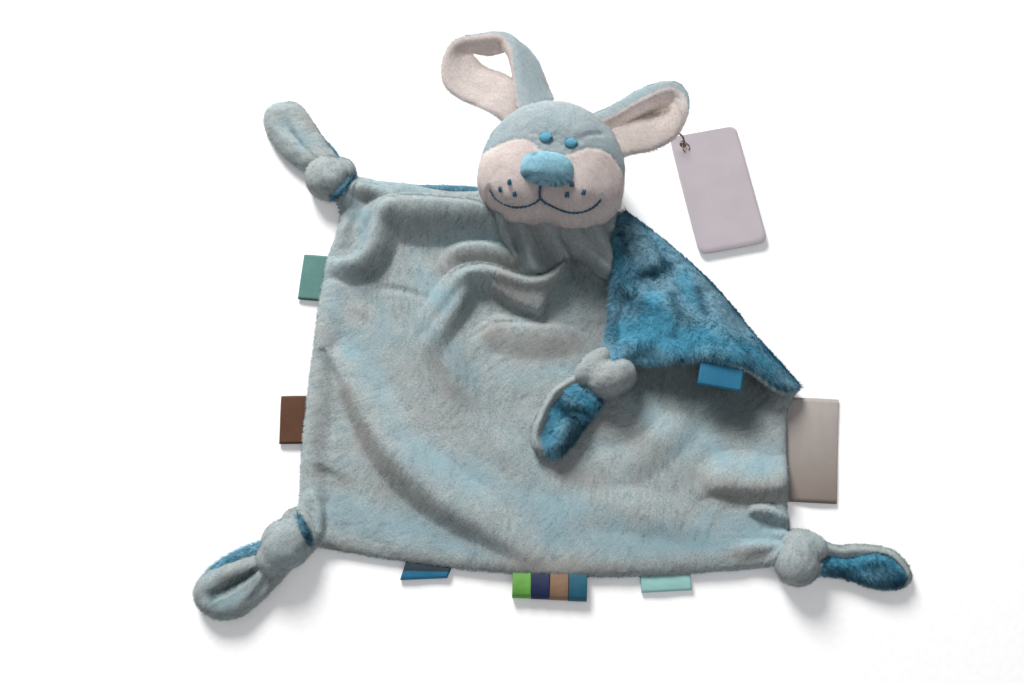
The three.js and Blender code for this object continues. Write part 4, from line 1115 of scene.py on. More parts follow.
def knot(key, kind, lumps, body, seed, tone_shift=0.0):
    """A knot as one surface over several swellings that merge, seen at picture points."""
    base, tall = KNOT[key][3], KNOT[key][2]
    mid = base + 0.36 * tall
    spec = []
    for across, down, z, (rx, ry, rz), deg in lumps:
        c = spot(across, down, z)[0]
        spec.append((c[0], c[1], z, rx, ry, rz, math.radians(deg)))
    mid_x, mid_y = spec[0][:2]
    th = np.linspace(0, 2 * np.pi, 220, endpoint=False)
    out_r = np.zeros(len(th))
    for ax, ay, z, rx, ry, rz, a in spec:
        ox, oy = mid_x - ax, mid_y - ay
        u0 = (ox * math.cos(a) + oy * math.sin(a)) / rx
        v0 = (-ox * math.sin(a) + oy * math.cos(a)) / ry
        du, dv = np.cos(th - a) / rx, np.sin(th - a) / ry
        qa, qb, qc = du * du + dv * dv, u0 * du + v0 * dv, u0 * u0 + v0 * v0 - 1
        disc = qb * qb - qa * qc
        far = np.where(disc > 0, (-qb + np.sqrt(np.maximum(disc, 0))) / qa, 0)
        out_r += np.maximum(far, 0) ** 9
    out_r = out_r ** (1 / 9)
    out_r = np.convolve(np.r_[out_r[-4:], out_r, out_r[:4]], np.ones(9) / 9, "valid")
    rho = np.sin(np.linspace(0, np.pi / 2, 66))
    RHO, TH = np.meshgrid(rho, th, indexing="ij")
    R = RHO * out_r[None]
    x, y = (mid_x + R * np.cos(TH)).ravel(), (mid_y + R * np.sin(TH)).ravel()
    flat = np.sqrt(clamp(1 - RHO.ravel() ** 2))
    high = (0.3 * tall * flat) ** 5
    for ax, ay, z, rx, ry, rz, a in spec:
        ox, oy = x - ax, y - ay
        u = (ox * math.cos(a) + oy * math.sin(a)) / rx
        v = (-ox * math.sin(a) + oy * math.cos(a)) / ry
        q = clamp(1 - u * u - v * v)
        high += np.maximum(z - mid + rz * np.sqrt(q), 0) ** 5 * (q > 0)
    high = high ** 0.2 * np.minimum(1, 3 * flat)
    p = np.stack([x, y], 1)
    wrinkle = 0.45 * noise(p, 6.5, seed) + 0.22 * noise(p, 2.8, seed + 1)
    top = np.c_[x, y, mid + high + wrinkle * flat]
    low = np.c_[x, y, mid - (mid - base - 0.3) * np.sqrt(clamp(1 - RHO.ravel() ** 4))]
    f = quads(len(th), len(rho), wrap=True)
    v, f = joined((top, facing(top, f, 1)), (low, facing(low, f, -1)))
    tone = clamp(tone_shift + 0.45 * noise(v, 9, seed + 1), -1, 1)
    dens = np.r_[np.ones(len(top)), np.full(len(low), 0.3)]
    return dress(f"{key}_knot_cloth", v, f, kind, body, [f"{key}_knot"], per_mm2=5.0, length=1.9,
                 tone=tone, width=0.32, lean=1.1, seed=seed, tufts=0.35, density=dens,
                 nap=lambda p, n: nap_of(p, n, turn=1.6, size=12, seed=seed))


def tuft_band(name, kind, body, rows, seed, length=2.4):
    """A narrow band of cloth pinched at a knot: picture points with height and radius."""
    a = np.array(rows, float)
    p = spot(a[:, 0], a[:, 1], a[:, 2])
    line = Line(np.c_[p, a[:, 3]])(np.linspace(0, 1, 40))
    t = np.linspace(0, 1, 40)
    r = line[:, 3] * np.sqrt(clamp(np.minimum(t, 1 - t) / 0.12 + 0.02))
    v, f = tube(line[:, :3], np.c_[r, r * 1.05], 12)
    v[:, 2] = np.maximum(v[:, 2], 0.3)
    # Painted shade: the pinched band is darkened strongly and unevenly
    dark = clamp(0.55 + 0.5 * noise(v, 3, seed))
    return dress(name, v, f, kind, body, [], per_mm2=8, length=length, width=0.36, lean=0.85, seed=seed,
                 wild=1.2, dark=dark, tufts=0.4, tuft=2.0)


# Each swelling of a knot: its picture point, its height, its three radii and its turn
knot("upper_left", "ivory", [(327, 177, 9.6, (11.8, 11.8, 8.6), 126),
                             (341, 172, 7.6, (8.4, 8.0, 7.0), 150),
                             (336, 186, 7.6, (7.6, 7.4, 6.6), 126)], "blanket", 61, 0.0)
knot("lower_left", "ivory", [(286, 543, 11.0, (11.6, 12.2, 9.4), 215),
                             (275, 557, 9.6, (9.6, 9.0, 7.8), 225),
                             (298, 531, 8.6, (7.0, 11.6, 8.2), 205),
                             (305, 528, 7.0, (6.0, 11.4, 6.4), 205)], "blanket", 63, 0.0)
knot("lower_right", "ivory", [(798, 563, 9.4, (10.8, 11.2, 9.2), 0),
                              (806, 546, 8.6, (11.5, 7.4, 6.8), -16), (798, 548, 8.0, (9, 8.6, 7), -20)],
     "blanket", 65, 0.0)
knot("folded", "ivory", [(609, 379, 16.0, (11.2, 9.4, 9.4), 10), (594, 366, 15.0, (12.4, 6.8, 8.2), 47),
                         (621, 373, 15.0, (8.0, 8.6, 7.6), 30)], "folded_corner", 67, -0.1)
tuft_band("upper_left_collar", "blue", "blanket",
          [(331, 199, 10, 1.0), (338, 193.5, 13, 1.1), (345, 186.5, 14, 0.8), (351, 179.5, 13, 0.5),
           (356, 174, 11, 0.3)], 71)
tuft_band("lower_left_collar", "blue", "blanket",
          [(297, 515, 14.5, 0.7), (302, 523, 17, 1.1), (306, 533, 17, 1.5), (311, 545, 12.5, 1.2)], 72)


def outline_of(left, right, z):
    """The two sides of a tail, from the knot to its tip, each as a line."""
    out = []
    for side in (left, right):
        a = np.array(side, float)
        out.append(Line(spot(a[:, 0], a[:, 1], z)[:, :2]))
    return out


def leaf_grid(left, right, na, ns):
    """A grid between two sides, the line round it, and the grid's faces."""
    t = 1 - (1 - np.linspace(0, 1, na)) ** 1.5
    s = 0.5 + 0.5 * np.sin(np.linspace(-math.pi / 2, math.pi / 2, ns))
    A, B = left(t)[:, None, :2], right(t)[:, None, :2]
    p = mix(A, B, s[None, :, None]).reshape(-1, 2)
    rim = np.vstack([left(np.linspace(0, 1, 60))[:, :2], right(np.linspace(1, 0, 60))[:, :2]])
    return p, rim, quads(ns, na)


def tail(key, kinds, under_px, top_px, seed, height, radius, top_folds=(), under_folds=(), darks=(),
         tones=(), lengths=(1.6, 1.6), level=3.2, na=96, ns=70, shade=0.0):
    """Two plies that end round: outlines are picture points, the knot's end first."""
    base = KNOT[key][3]
    lines_u = outline_of(*under_px, base + level)
    lines_t = outline_of(*top_px, base + level + 2.5)
    pu, rim_u, fq = leaf_grid(*lines_u, na, ns)
    du = near(rim_u, pu[:, 0], pu[:, 1])[0]
    ru = rounded(du, 3.4)
    lower = base + mix(level, 0.3, ru)
    upper = base + mix(level, level + 2.3, ru)
    if under_folds:
        upper += ridges(folds_of(under_folds, base + 5), pu[:, 0], pu[:, 1]) * ru
    pt, rim_t, _ = leaf_grid(*lines_t, na, ns)
    within = inside(np.vstack([rim_t, rim_t[:1]]), pu[:, 0], pu[:, 1])
    hidden = within & (near(rim_t, pu[:, 0], pu[:, 1])[0] > 1.2)
    upper = np.where(hidden, np.minimum(upper, base + level + 1.4), upper)
    wob = 0.25 * noise(pu, 6, seed)
    vl, vu = np.c_[pu, np.maximum(lower, base + 0.2)], np.c_[pu, upper + wob]
    v, f = joined((vl, facing(vl, fq, -1)), (vu, facing(vu, fq, 1)))
    dens = np.r_[np.where(du < 3, 1.0, 0.2), np.where(hidden, 0.1, 1.0)]
    dt = near(rim_t, pt[:, 0], pt[:, 1])[0]
    full_t = rounded(dt, radius)
    top = base + level + 1.1 + height * full_t + 0.35 * noise(pt, 7, seed + 5) * full_t
    for sign, row in top_folds:
        top = top + sign * ridges(folds_of([row], base + 8), pt[:, 0], pt[:, 1]) * full_t
    top = np.maximum(top, base + level + 0.8)
    vt = np.c_[pt, top]
    ft = facing(vt, fq, 1)
    tone_u = clamp(0.4 * noise(v, 10, seed + 2), -1, 1)
    # Painted shade on the top ply: the bands of darks in its grooves and shaded parts, and shade evenly
    # over it
    tone_bands, shade_bands = bands_of(tones, base + 8), bands_of(darks, base + 8)
    tone_t = clamp(0.4 * noise(vt, 10, seed + 3) + painted(tone_bands, pt[:, 0], pt[:, 1], seed), -1, 1)
    shade_t = clamp(painted(shade_bands, pt[:, 0], pt[:, 1], seed + 1) + shade)
    head_at, tip_at = rim_u[0], rim_u[59]
    heading = unit(np.r_[tip_at - head_at, 0.0][None])[0]

    def nap(p, n):
        return along_surface(heading * 0.8 + 0.8 * nap_of(p, n, turn=1.4, size=12, seed=seed), n)

    blue_t = kinds[1] == "blue"
    dress(f"{key}_tail_under", v, f, kinds[0], f"{key}_tail", [f"{key}_tail_under_ply"], per_mm2=4.4,
          length=lengths[0], tone=tone_u, width=0.34, lean=1.1, seed=seed, nap=nap, density=dens,
          tufts=0.3)
    dress(f"{key}_tail_top", vt, ft, kinds[1], f"{key}_tail", [f"{key}_tail_top_ply"],
          per_mm2=6.0 if blue_t else 4.6, length=lengths[1], tone=tone_t, dark=shade_t,
          width=0.42 if blue_t else 0.34, lean=1.1, seed=seed + 1, nap=nap, tufts=0.5 if blue_t else 0.3,
          tuft=2.6 if blue_t else 2.0)


# The two sides of each tail's plies as picture points: each call names the under ply's first
UL_L = [(318, 170), (306, 171), (297, 167), (286, 159), (276, 148), (268, 135), (264, 122), (266, 111),
        (275, 104), (288, 101.5)]
UL_R = [(338, 165), (336, 157), (330, 147), (321, 134), (313, 121), (306, 111), (299, 104), (288, 101.5)]
UL_UL = [(318, 166), (308, 168), (299, 163), (289, 155), (280, 145), (273, 133), (270, 122), (272, 114),
         (279, 108), (288, 106)]
UL_UR = [(342, 166), (339, 156), (333, 147), (321, 136), (310, 123), (302, 113), (295, 108), (288, 106)]
tail("upper_left", ("blue", "ivory"), (UL_UL, UL_UR), (UL_L, UL_R), 81, 6.8, 8.5,
     top_folds=[(-1, [(280, 121, 0.8, 6, 6), (289, 130, 1.5, 4.5, 5), (296, 138, 1.0, 3, 4)]),
                (-1, [(291, 131, 0.3, 1.6, 1.8), (297, 138, 0.9, 1.6, 2.0), (304, 148, 0.7, 1.8, 2.4),
                      (312, 158, 0.3, 2, 2)])],
     darks=[(1.1, 0.3, [(293, 132), (298, 139), (304, 147)])],
     tones=[(5, 0.9, [(286, 127), (296, 130), (304, 146)]), (5, -0.5, [(304, 112), (316, 130)])],
     lengths=(2.0, 1.7))
LL_L = [(272, 538), (262, 541), (250, 545.5), (236, 551), (222, 559), (210, 568), (203, 577), (205, 590),
        (211, 602), (218, 610), (228, 614)]
LL_R = [(284, 560), (277, 576), (267, 587), (256, 598), (245, 607), (236, 613), (228, 614)]
LL_TL = [(274, 551), (262, 554), (248, 557), (233, 562), (219, 567), (207, 572), (199, 579), (194, 590),
         (195, 601), (202, 611), (213, 618), (226, 620)]
LL_TR = [(292, 566), (284, 577), (275, 587), (264, 598), (252, 609), (240, 617), (226, 620)]
tail("lower_left", ("blue", "ivory"), (LL_L, LL_R), (LL_TL, LL_TR), 84, 6.8, 7.0,
     top_folds=[(-1, [(210, 597, 0.6, 3.4, 3.4), (217, 593, 2.4, 3.6, 4), (228, 587, 3.4, 3.6, 4),
                      (240, 580, 3.4, 3.0, 3.4), (252, 573, 2.8, 2.2, 2.6), (263, 566, 1.4, 1.8, 2)]),
                (-1, [(246, 606, 0.5, 3, 4), (257, 594, 1.6, 3, 4), (266, 582, 1.9, 3, 4),
                      (277, 568, 1.2, 3, 4)]),
                (1, [(255, 562, 0.6, 3, 4), (238, 567, 1.2, 4, 4), (220, 575, 1.2, 4, 4),
                     (206, 585, 0.6, 4, 4)])],
     tones=[(4, 0.8, [(214, 600), (228, 603), (240, 596)]), (4, -0.6, [(230, 576), (256, 564)])],
     darks=[(2.4, 0.85, [(214, 595), (228, 589), (242, 580), (254, 573)])],
     shade=0.12, under_folds=[[(264, 547, 0.8, 5, 4), (247, 551, 1.6, 5, 5), (230, 558, 1.4, 5, 5),
                               (216, 566, 0.6, 4, 4)]],
     lengths=(2.6, 1.8))
LR_T = [(800, 532), (820, 539.5), (838, 545), (855, 544), (875, 545.5), (890, 549), (902, 557),
        (910, 568), (912, 578), (907, 586)]
LR_B = [(806, 578), (822, 575), (838, 577), (853, 581), (868, 586), (884, 589), (898, 588.5), (907, 586)]
LR_BT = [(808, 556), (820, 552.5), (831, 555.5), (842, 557.5), (854, 556.5), (866, 552.5), (878, 551),
         (889, 554), (900, 564), (907, 574), (905, 583), (898, 587)]
LR_BB = [(808, 575), (822, 574), (838, 576), (853, 580), (868, 585), (884, 588), (898, 587)]
tail("lower_right", ("ivory", "blue"), (LR_T, LR_B), (LR_BT, LR_BB), 87, 4.8, 6.0,
     under_folds=[[(804, 542, 5.4, 5, 6), (820, 546, 4.6, 4.6, 5), (838, 550.5, 3.6, 4, 4.5),
                   (860, 549.5, 3.0, 4, 4.5), (884, 552, 3.4, 4, 4),
                   (898, 561, 3.4, 4, 4), (907, 573, 2.6, 3.5, 4)]],
     top_folds=[(-1, [(836, 572, 0.6, 5, 5), (855, 571, 1.8, 5, 5), (876, 568, 1.8, 5, 5),
                      (892, 572, 0.6, 5, 5)])],
     tones=[(5, 0.9, [(828, 560), (850, 564), (876, 558), (890, 564)])],
     darks=[(4.5, 0.85, [(830, 574), (850, 578), (870, 583), (890, 585), (900, 582)]),
            (4, 0.7, [(872, 568), (888, 573), (898, 578)]), (3, 0.4, [(846, 569), (860, 572)])],
     lengths=(1.6, 2.5), level=3.6)
KF_L = [(592, 362), (583, 371), (572, 376), (559, 384), (549, 393), (542, 405), (536, 418), (532, 430),
        (531, 441), (534, 450), (541, 455)]
KF_R = [(606, 398), (600, 408), (590, 420), (580, 434), (572, 445), (563, 453), (553, 457.5), (541, 455)]
KF_BL = [(588, 380), (576, 382), (566, 389), (559, 399), (552, 408), (547, 420), (543, 433), (542, 444),
         (546, 453), (553, 457)]
KF_BR = [(601, 394), (603, 404), (594, 415), (584, 428), (576, 440), (568, 449), (561, 455), (553, 457)]
tail("folded", ("ivory", "blue"), (KF_L, KF_R), (KF_BL, KF_BR), 90, 5.2, 6.0,
     under_folds=[[(588, 372, 1.5, 5, 4), (570, 381, 3.6, 4.5, 4.5), (556, 391, 4.2, 4.5, 4.5),
                   (546, 405, 4.2, 4.5, 4.5), (539, 420, 3.8, 4.5, 4.5), (535, 436, 3.0, 4, 4),
                   (537, 448, 2.0, 4, 4)]],
     top_folds=[(-1, [(566, 404, 1, 5, 4), (572, 410, 2.6, 5, 5), (584, 412, 2.4, 5, 5),
                      (594, 412, 1, 4, 4)]),
                (1, [(558, 446, 0.6, 4, 4), (564, 434, 1.6, 5, 5), (570, 424, 1.6, 5, 5),
                     (576, 418, 0.6, 4, 4)])],
     tones=[(4.5, 0.9, [(572, 387), (582, 396), (590, 402)]),
            (4, 0.8, [(550, 440), (556, 422), (560, 408)]),
            (4, -0.6, [(566, 440), (572, 426)])],
     darks=[(4.0, 1.0, [(562, 404), (572, 412), (584, 414)]),
            (5, 0.7, [(586, 418), (576, 434), (566, 450)]),
            (3, 0.6, [(556, 398), (550, 412), (546, 430)])],
     lengths=(1.6, 3.2), level=3.6, shade=0.26)


# Head
HEAD_AT = (0.5, 104.5)
ROLL = math.radians(-9)
HALF_W, HEAD_UP, HEAD_DOWN = 38, 36, 33
MID_Z = 25
FACE = 26
BLANKET_TOP_Y = 103.4
SEAM_Z = 19


def to_world(p):
    """From the head's own frame to the object's."""
    return np.c_[(*placed(p[:, 0], p[:, 1], HEAD_AT, ROLL), p[:, 2])]


def full(t):
    """A fuller curve than a circle's, from -1 to 1."""
    return np.sign(t) * np.abs(t) ** 0.8


def head_point(a, b, c):
    """The head's form over the points of a ball of radius 1."""
    width = HALF_W * (1 - 0.16 * b)
    notch = np.where(b < 0, 3.4 * np.exp(-((a / 0.2) ** 2)) * b * b * (1 - np.abs(c)), 0)
    height = np.where(b > 0, HEAD_UP, HEAD_DOWN - notch)
    bulge = np.exp(-(((np.abs(a) - 0.45) / 0.3) ** 2))
    cheeks = np.where(c > 0, 3 * c * bulge * clamp(-b * 2), 0)
    depth = np.where(c > 0, FACE, MID_Z + 0.5)
    return np.stack([a * width, full(b) * height, MID_Z + full(c) * depth + cheeks], -1)


def seam_y(x):
    """The border between crown and muzzle, in the head's own frame."""
    return np.interp(x, [-38, -29, -22, -15, -9, -4, 4, 10, 16, 22, 29, 35, 38],
                     [-1, 0.7, 3.4, 3.6, 0.6, -3.5, -3.5, 0.0, 4.2, 5.3, 4.6, 0.8, -2])


def face_point(x, y):
    """The place on the face over points of the head's own frame."""
    tall = np.where(y > 0, HEAD_UP, HEAD_DOWN)
    b = np.sign(y) * clamp(np.abs(y) / tall, 0, 0.985) ** (1 / 0.8)
    a = x / (HALF_W * (1 - 0.16 * b))
    return head_point(a, b, np.sqrt(np.maximum(1 - a * a - b * b, 0.02)))


def face_at(x, y):
    """Places on the face, and the ways out of it there."""
    x, y = np.asarray(x, float), np.asarray(y, float)
    across = face_point(x + 1, y) - face_point(x - 1, y)
    up = face_point(x, y + 1) - face_point(x, y - 1)
    return face_point(x, y), unit(np.cross(across, up))


def frame_on_face(x, y, out):
    """A place on the face moved out, the way out, and two ways along the face."""
    p, n = face_at(np.array([x]), np.array([y]))
    n = n[0]
    along = unit(np.cross(np.array([0.0, 1, 0]), n)[None])[0]
    return p[0] + n * out, n, along, np.cross(n, along)


def on_face(pts):
    """Picture points as places of the head's own frame, where they meet the face."""
    a = np.array(pts, float)
    z = np.full(len(a), 46.0)
    for _ in range(40):
        w = spot(a[:, 0], a[:, 1], z)
        x, y = placed(w[:, 0] - HEAD_AT[0], w[:, 1] - HEAD_AT[1], (0, 0), -ROLL)
        z = mix(z, face_at(x, y)[0][:, 2], 0.25)
    return np.stack([x, y], 1)


MOUTH_PX = [(488.5, 190), (494.5, 198.5), (504.5, 205), (517, 208.3), (528, 207.3), (536, 204),
            (540, 200.6), (545, 205), (555.5, 210.3), (567, 213.2), (578, 213.3), (589.5, 210.3),
            (597, 205.6), (601.5, 200)]
mouth_line = Line(on_face(MOUTH_PX))
drop_line = Line(on_face([(540.5, 186), (539.5, 194), (540, 200.6)]))
NOSE = tuple(on_face([(547.4, 168.2)])[0])
EYES = {"eye_left": tuple(on_face([(545.8, 137)])[0]), "eye_right": tuple(on_face([(571, 142.4)])[0])}

ico, ico_f = ball_of(7)


def cheek(x, y):
    """How far the two cheeks swell."""
    return 0.9 * bell(np.hypot(x + 17, y + 21), 13) + 0.9 * bell(np.hypot(x - 15, y + 20), 13)


hp = head_point(ico[:, 0], ico[:, 1], ico[:, 2])
hn = normals_of(hp, ico_f)
frontal = clamp(hn[:, 2] * 1.6)
dm = np.minimum(near(mouth_line(np.linspace(0, 1, 30))[:, :2], hp[:, 0], hp[:, 1])[0],
                near(drop_line(np.linspace(0, 1, 6))[:, :2], hp[:, 0], hp[:, 1])[0])
sink = 1.5 * bell(dm, 3.2) + 0.5 * bell(hp[:, 1] - seam_y(hp[:, 0]), 2.2)
for ex, ey in EYES.values():
    ed, ea = np.hypot(hp[:, 0] - ex, hp[:, 1] - ey), np.arctan2(hp[:, 1] - ey, hp[:, 0] - ex)
    sink += 1.3 * bell(ed, 6.5) + 0.5 * bell(ed - 5.5, 3) * np.cos(4 * ea + ex) ** 2
sink += 1.6 * bell(np.hypot((hp[:, 0] - NOSE[0]) / 1.35, hp[:, 1] - NOSE[1]), 11)
sink -= cheek(hp[:, 0], hp[:, 1])
sink -= 0.8 * bell(np.hypot(hp[:, 0] + 24, hp[:, 1] + 6), 16) * frontal
sink += 0.8 * bell(np.hypot(hp[:, 0] - 1.5, hp[:, 1] - 4), 9)
brow = spot([578, 590, 602], [138, 132, 129], 50)[:, :2]
brow_d = near(Line(brow)(np.linspace(0, 1, 9))[:, :2], to_world(hp)[:, 0], to_world(hp)[:, 1])[0]
sink += 0.9 * bell(brow_d, 2.6)
side_seam = 0.8 * bell(hp[:, 2] - SEAM_Z, 2.6)
hp = hp - hn * ((sink * frontal) + side_seam + 0.35 * noise(hp, 7, 91))[:, None]
hw = to_world(hp)
over_blanket = hw[:, 1] < BLANKET_TOP_Y
under = np.where(over_blanket, 5.95 + lift(hw[:, 0], hw[:, 1]), 0.5)
hw[:, 2] = np.maximum(hw[:, 2], np.minimum(under, MID_Z - 2))
in_front = (hp[:, 2] > SEAM_Z)[ico_f].mean(1) > 0.5
above = (hp[:, 1] > seam_y(hp[:, 0]))[ico_f].mean(1) > 0.5
PANELS = {
    "head_crown": ("crown", in_front & above, "head_crown_panel"),
    "head_muzzle": ("white", in_front & ~above, "head_muzzle_panel"),
    "head_back": ("crown", ~in_front, "head_back_panel"),
}


def only(v, f, keep):
    """The kept faces with their points, and which points those are."""
    f = f[keep]
    used = np.unique(f)
    back_to = np.full(len(v), -1)
    back_to[used] = np.arange(len(used))
    return v[used], back_to[f], used


def nap_head(p, n):
    """The head's pile runs away from the nose and down its sides."""
    x, y = placed(p[:, 0] - HEAD_AT[0], p[:, 1] - HEAD_AT[1], (0, 0), -ROLL)
    d = np.stack([(x - NOSE[0]) * 0.9, (y - NOSE[1]) * 0.55 - 9, -8 + 0 * x], 1)
    return along_surface(unit(d) + 0.55 * nap_of(p, n, turn=2.2, size=11, seed=93), n)


bare = np.ones(len(hw))
bare *= 1 - 0.95 * bell(np.hypot((hp[:, 0] - NOSE[0]) / 1.3, hp[:, 1] - NOSE[1]), 10) * frontal
for ex, ey in EYES.values():
    bare *= 1 - 0.95 * bell(np.hypot(hp[:, 0] - ex, hp[:, 1] - ey), 4.2) * frontal
bare *= 1 - 0.6 * bell(dm, 1.6) * frontal
for name, (kind, keep, node) in PANELS.items():
    v, f, used = only(hw, ico_f, keep)
    tone = clamp(0.5 * noise(v, 12, 95) + 0.25 * noise(v, 5, 96), -1, 1)
    # Painted shade: the muzzle is greyer along the sunk mouth line
    if name == "head_muzzle":
        tone -= 0.8 * bell(dm[used], 3.5)
    seen = name != "head_back"
    dress(name, v, f, kind, "head", [node], per_mm2=6.0 if seen else 4.0, length=1.75,
          tone=clamp(tone, -1, 1), width=0.3, lean=1.12, seed=96, density=bare[used], nap=nap_head,
          locks=0.55, flat=0.45 if seen else 0.0)

# Nose: satin drawn in at its lower rim, over a small stuffed pad
na, nb = 120, 44
th = np.linspace(0, 2 * np.pi, na, endpoint=False)
ph = np.linspace(0.001, math.pi * 0.62, nb)
TH, PH = np.meshgrid(th, ph)
sx = np.sin(PH) ** 0.82
sq_c = np.sign(np.cos(TH)) * np.abs(np.cos(TH)) ** 0.7
sq_s = np.sign(np.sin(TH)) * np.abs(np.sin(TH)) ** 0.74
nyp = sx * sq_s * np.where(sq_s > 0, 8.0, 8.8)
nxp = sx * sq_c * (13.2 - 0.16 * nyp)
nzp = np.cos(PH) * 7.4
low_rim = clamp((-nyp - 1.5) / 5) * clamp((PH - 0.5) / 0.7)
ray = np.arctan2(nyp + 3.2, nxp - 3.0)
gather = np.abs(np.sin(ray * 8.5 + 0.7 * np.sin(3 * ray))) ** 0.6
nzp -= low_rim * (2.0 * (1 - gather) + 0.5)
dent = np.exp(-(((nxp + 7.5) / 2.2) ** 2 + ((nyp - 5.0) / 1.6) ** 2))
nzp -= 0.9 * dent
nzp += 0.3 * np.sin(TH * 3 + PH * 4) * clamp((PH - 0.3) / 0.5)
nose_at, nose_out, nose_along, nose_up = frame_on_face(*NOSE, 0.3)
nose_local = (nose_at + nxp.ravel()[:, None] * nose_along + nyp.ravel()[:, None] * nose_up
              + nzp.ravel()[:, None] * nose_out)
nose_v = to_world(nose_local)
nose_f = facing_along(nose_v, quads(na, nb, wrap=True), nose_v - nose_v.mean(0))
# Painted shade in the creases between the gathers of the lower rim and in the dent
nose_shade = clamp((low_rim * (1 - gather) * 1.1 + 0.5 * dent).ravel())


def nap_nose(p, n):
    return along_surface(p - nose_v.mean(0) + 0.8 * nap_of(p, n, turn=2.0, size=7, seed=97), n)


dress("nose_pad", nose_v, nose_f, "nose", "head", ["nose"], per_mm2=9, length=1.0,
      tone=clamp(0.5 * noise(nose_v, 7, 98), -1, 1), dark=nose_shade, width=0.24, lean=1.15, seed=97,
      nap=nap_nose)

# Eyes: satin stitch, threads side by side over a low pad
for name, (ex, ey) in EYES.items():
    p0, n0, e1, e2 = frame_on_face(ex, ey, -0.9)
    parts = []
    rows = 10
    for i in range(rows):
        s = mix(-1, 1, (i + 0.5) / rows)
        half = 2.5 * math.sqrt(max(1 - s * s, 0.05))
        t = np.linspace(-1, 1, 9)
        crown = math.sqrt(max(1 - 0.75 * s * s, 0.1))
        tall = 0.5 + 1.5 * np.sqrt(clamp(1 - t * t * 0.92)) * crown
        path = np.stack([s * 2.9 + 0.5 * t, t * half, tall], 1)
        pts = p0 + path[:, :1] * e1 + path[:, 1:2] * e2 + path[:, 2:] * n0
        parts.append(tube(pts, np.full((9, 2), 0.30 + 0.04 * (i % 3)), 7, up=n0))
    rim_a = np.linspace(0, 2 * np.pi, 40, endpoint=False)
    rim = p0 + 3.1 * np.cos(rim_a)[:, None] * e1 + 2.7 * np.sin(rim_a)[:, None] * e2 + 0.6 * n0
    parts.append(tube(rim, np.full((40, 2), 0.42), 7, closed=True, up=n0))
    v, f = joined(*parts)
    ring_a = np.zeros(len(v))
    ring_a[-7 * 40:] = 0.7
    stands(build(name + "_stitched", to_world(v), f, THREAD["blue"], ring=ring_a), "head", name)


def stitches(line, length, radius, over=0.35, lift_off=0.15):
    """Short stitches along a line on the face, each swelling at its middle."""
    parts = []
    count = max(2, int(round(line.length / length)))
    for i in range(count):
        t0, t1 = i / count, (i + 1) / count
        t = np.linspace(t0 - 0.06 / count, t1 + 0.06 / count, 7)
        q = line(t)
        p, n = face_at(q[:, 0], q[:, 1])
        arc = np.sin(np.linspace(0, np.pi, 7))
        p = p + n * (cheek(q[:, 0], q[:, 1])[:, None] - 1.0 + lift_off + over * arc[:, None])
        rr = radius * (0.55 + 0.45 * arc)
        parts.append(tube(p, np.c_[rr, rr], 8, up=n.mean(0)))
    return parts


v, f = joined(*stitches(mouth_line, 2.2, 0.62), *stitches(drop_line, 2.2, 0.6))
stands(build("mouth_stitches", to_world(v), f, THREAD["dark"]), "head", "mouth_stitching")

WHISKERS = on_face([(510.6, 182), (501.3, 189), (515.5, 193.4), (571.8, 184.5), (567.2, 194.4),
                    (583, 191.8)])
for i, (wx, wy) in enumerate(WHISKERS):
    p0, n0, e1, e2 = frame_on_face(wx, wy, cheek(np.array([wx]), np.array([wy]))[0] - 0.15)
    parts = []
    for j, (ox, turn) in enumerate(((-0.62, 0.1), (0.62, -0.15), (0.0, 0.4))):
        t = np.linspace(-1, 1, 7)
        half = 1.35 if j == 2 else 1.05
        path = (p0 + (ox + turn * t[:, None]) * e1 + half * t[:, None] * e2
                + (0.2 + 0.8 * np.sqrt(clamp(1 - 0.9 * t[:, None] ** 2)) + 0.12 * j) * n0)
        parts.append(tube(path, np.full((7, 2), 0.46), 7, up=n0))
    v, f = joined(*parts)
    whisker = build(f"whisker_{i + 1}_stitched", to_world(v), f, THREAD["dark"])
    stands(whisker, "head", f"whisker_stitch_{i + 1}")


# Ears
# Each ear is a band on edge, bent to a loop. Its rows are picture points of the
# band's upper seam, the seam's height and how far the band leans outwards.
EAR = {
    "left": [(511, 131, 27, 40), (506, 122, 26, 45), (492, 112, 24, 58), (477, 105, 18.5, 64),
             (461, 98, 15.5, 65), (449, 89, 14.5, 62), (443, 76, 15, 56), (444, 60, 16.5, 52),
             (450, 46, 19, 46), (462, 38.5, 21.5, 41), (478, 35.5, 22.5, 36), (494, 33.5, 23, 26),
             (505, 36, 24, 4), (511, 50, 25, -20), (514, 65, 25.5, -32), (516, 80, 26, -36),
             (518, 95, 27, -36), (521, 112, 28, -30), (524, 126, 28, -26)],
    "right": [(586, 129, 27, -6), (597, 122, 27, -6), (612, 115, 26.5, -6), (627, 106, 26, -5),
              (640, 98.5, 25.5, -4), (652, 92.5, 25, -2), (664, 88, 24.5, 3), (676, 88, 24, 12),
              (685, 97, 23, 22), (687, 112, 22, 36), (682, 127, 21, 44), (672, 139, 20.5, 50),
              (659, 146.5, 20.5, 52), (645, 151, 21.5, 50), (632, 153, 23, 44), (620, 157, 25, 34),
              (608, 161, 26, 30)],
}


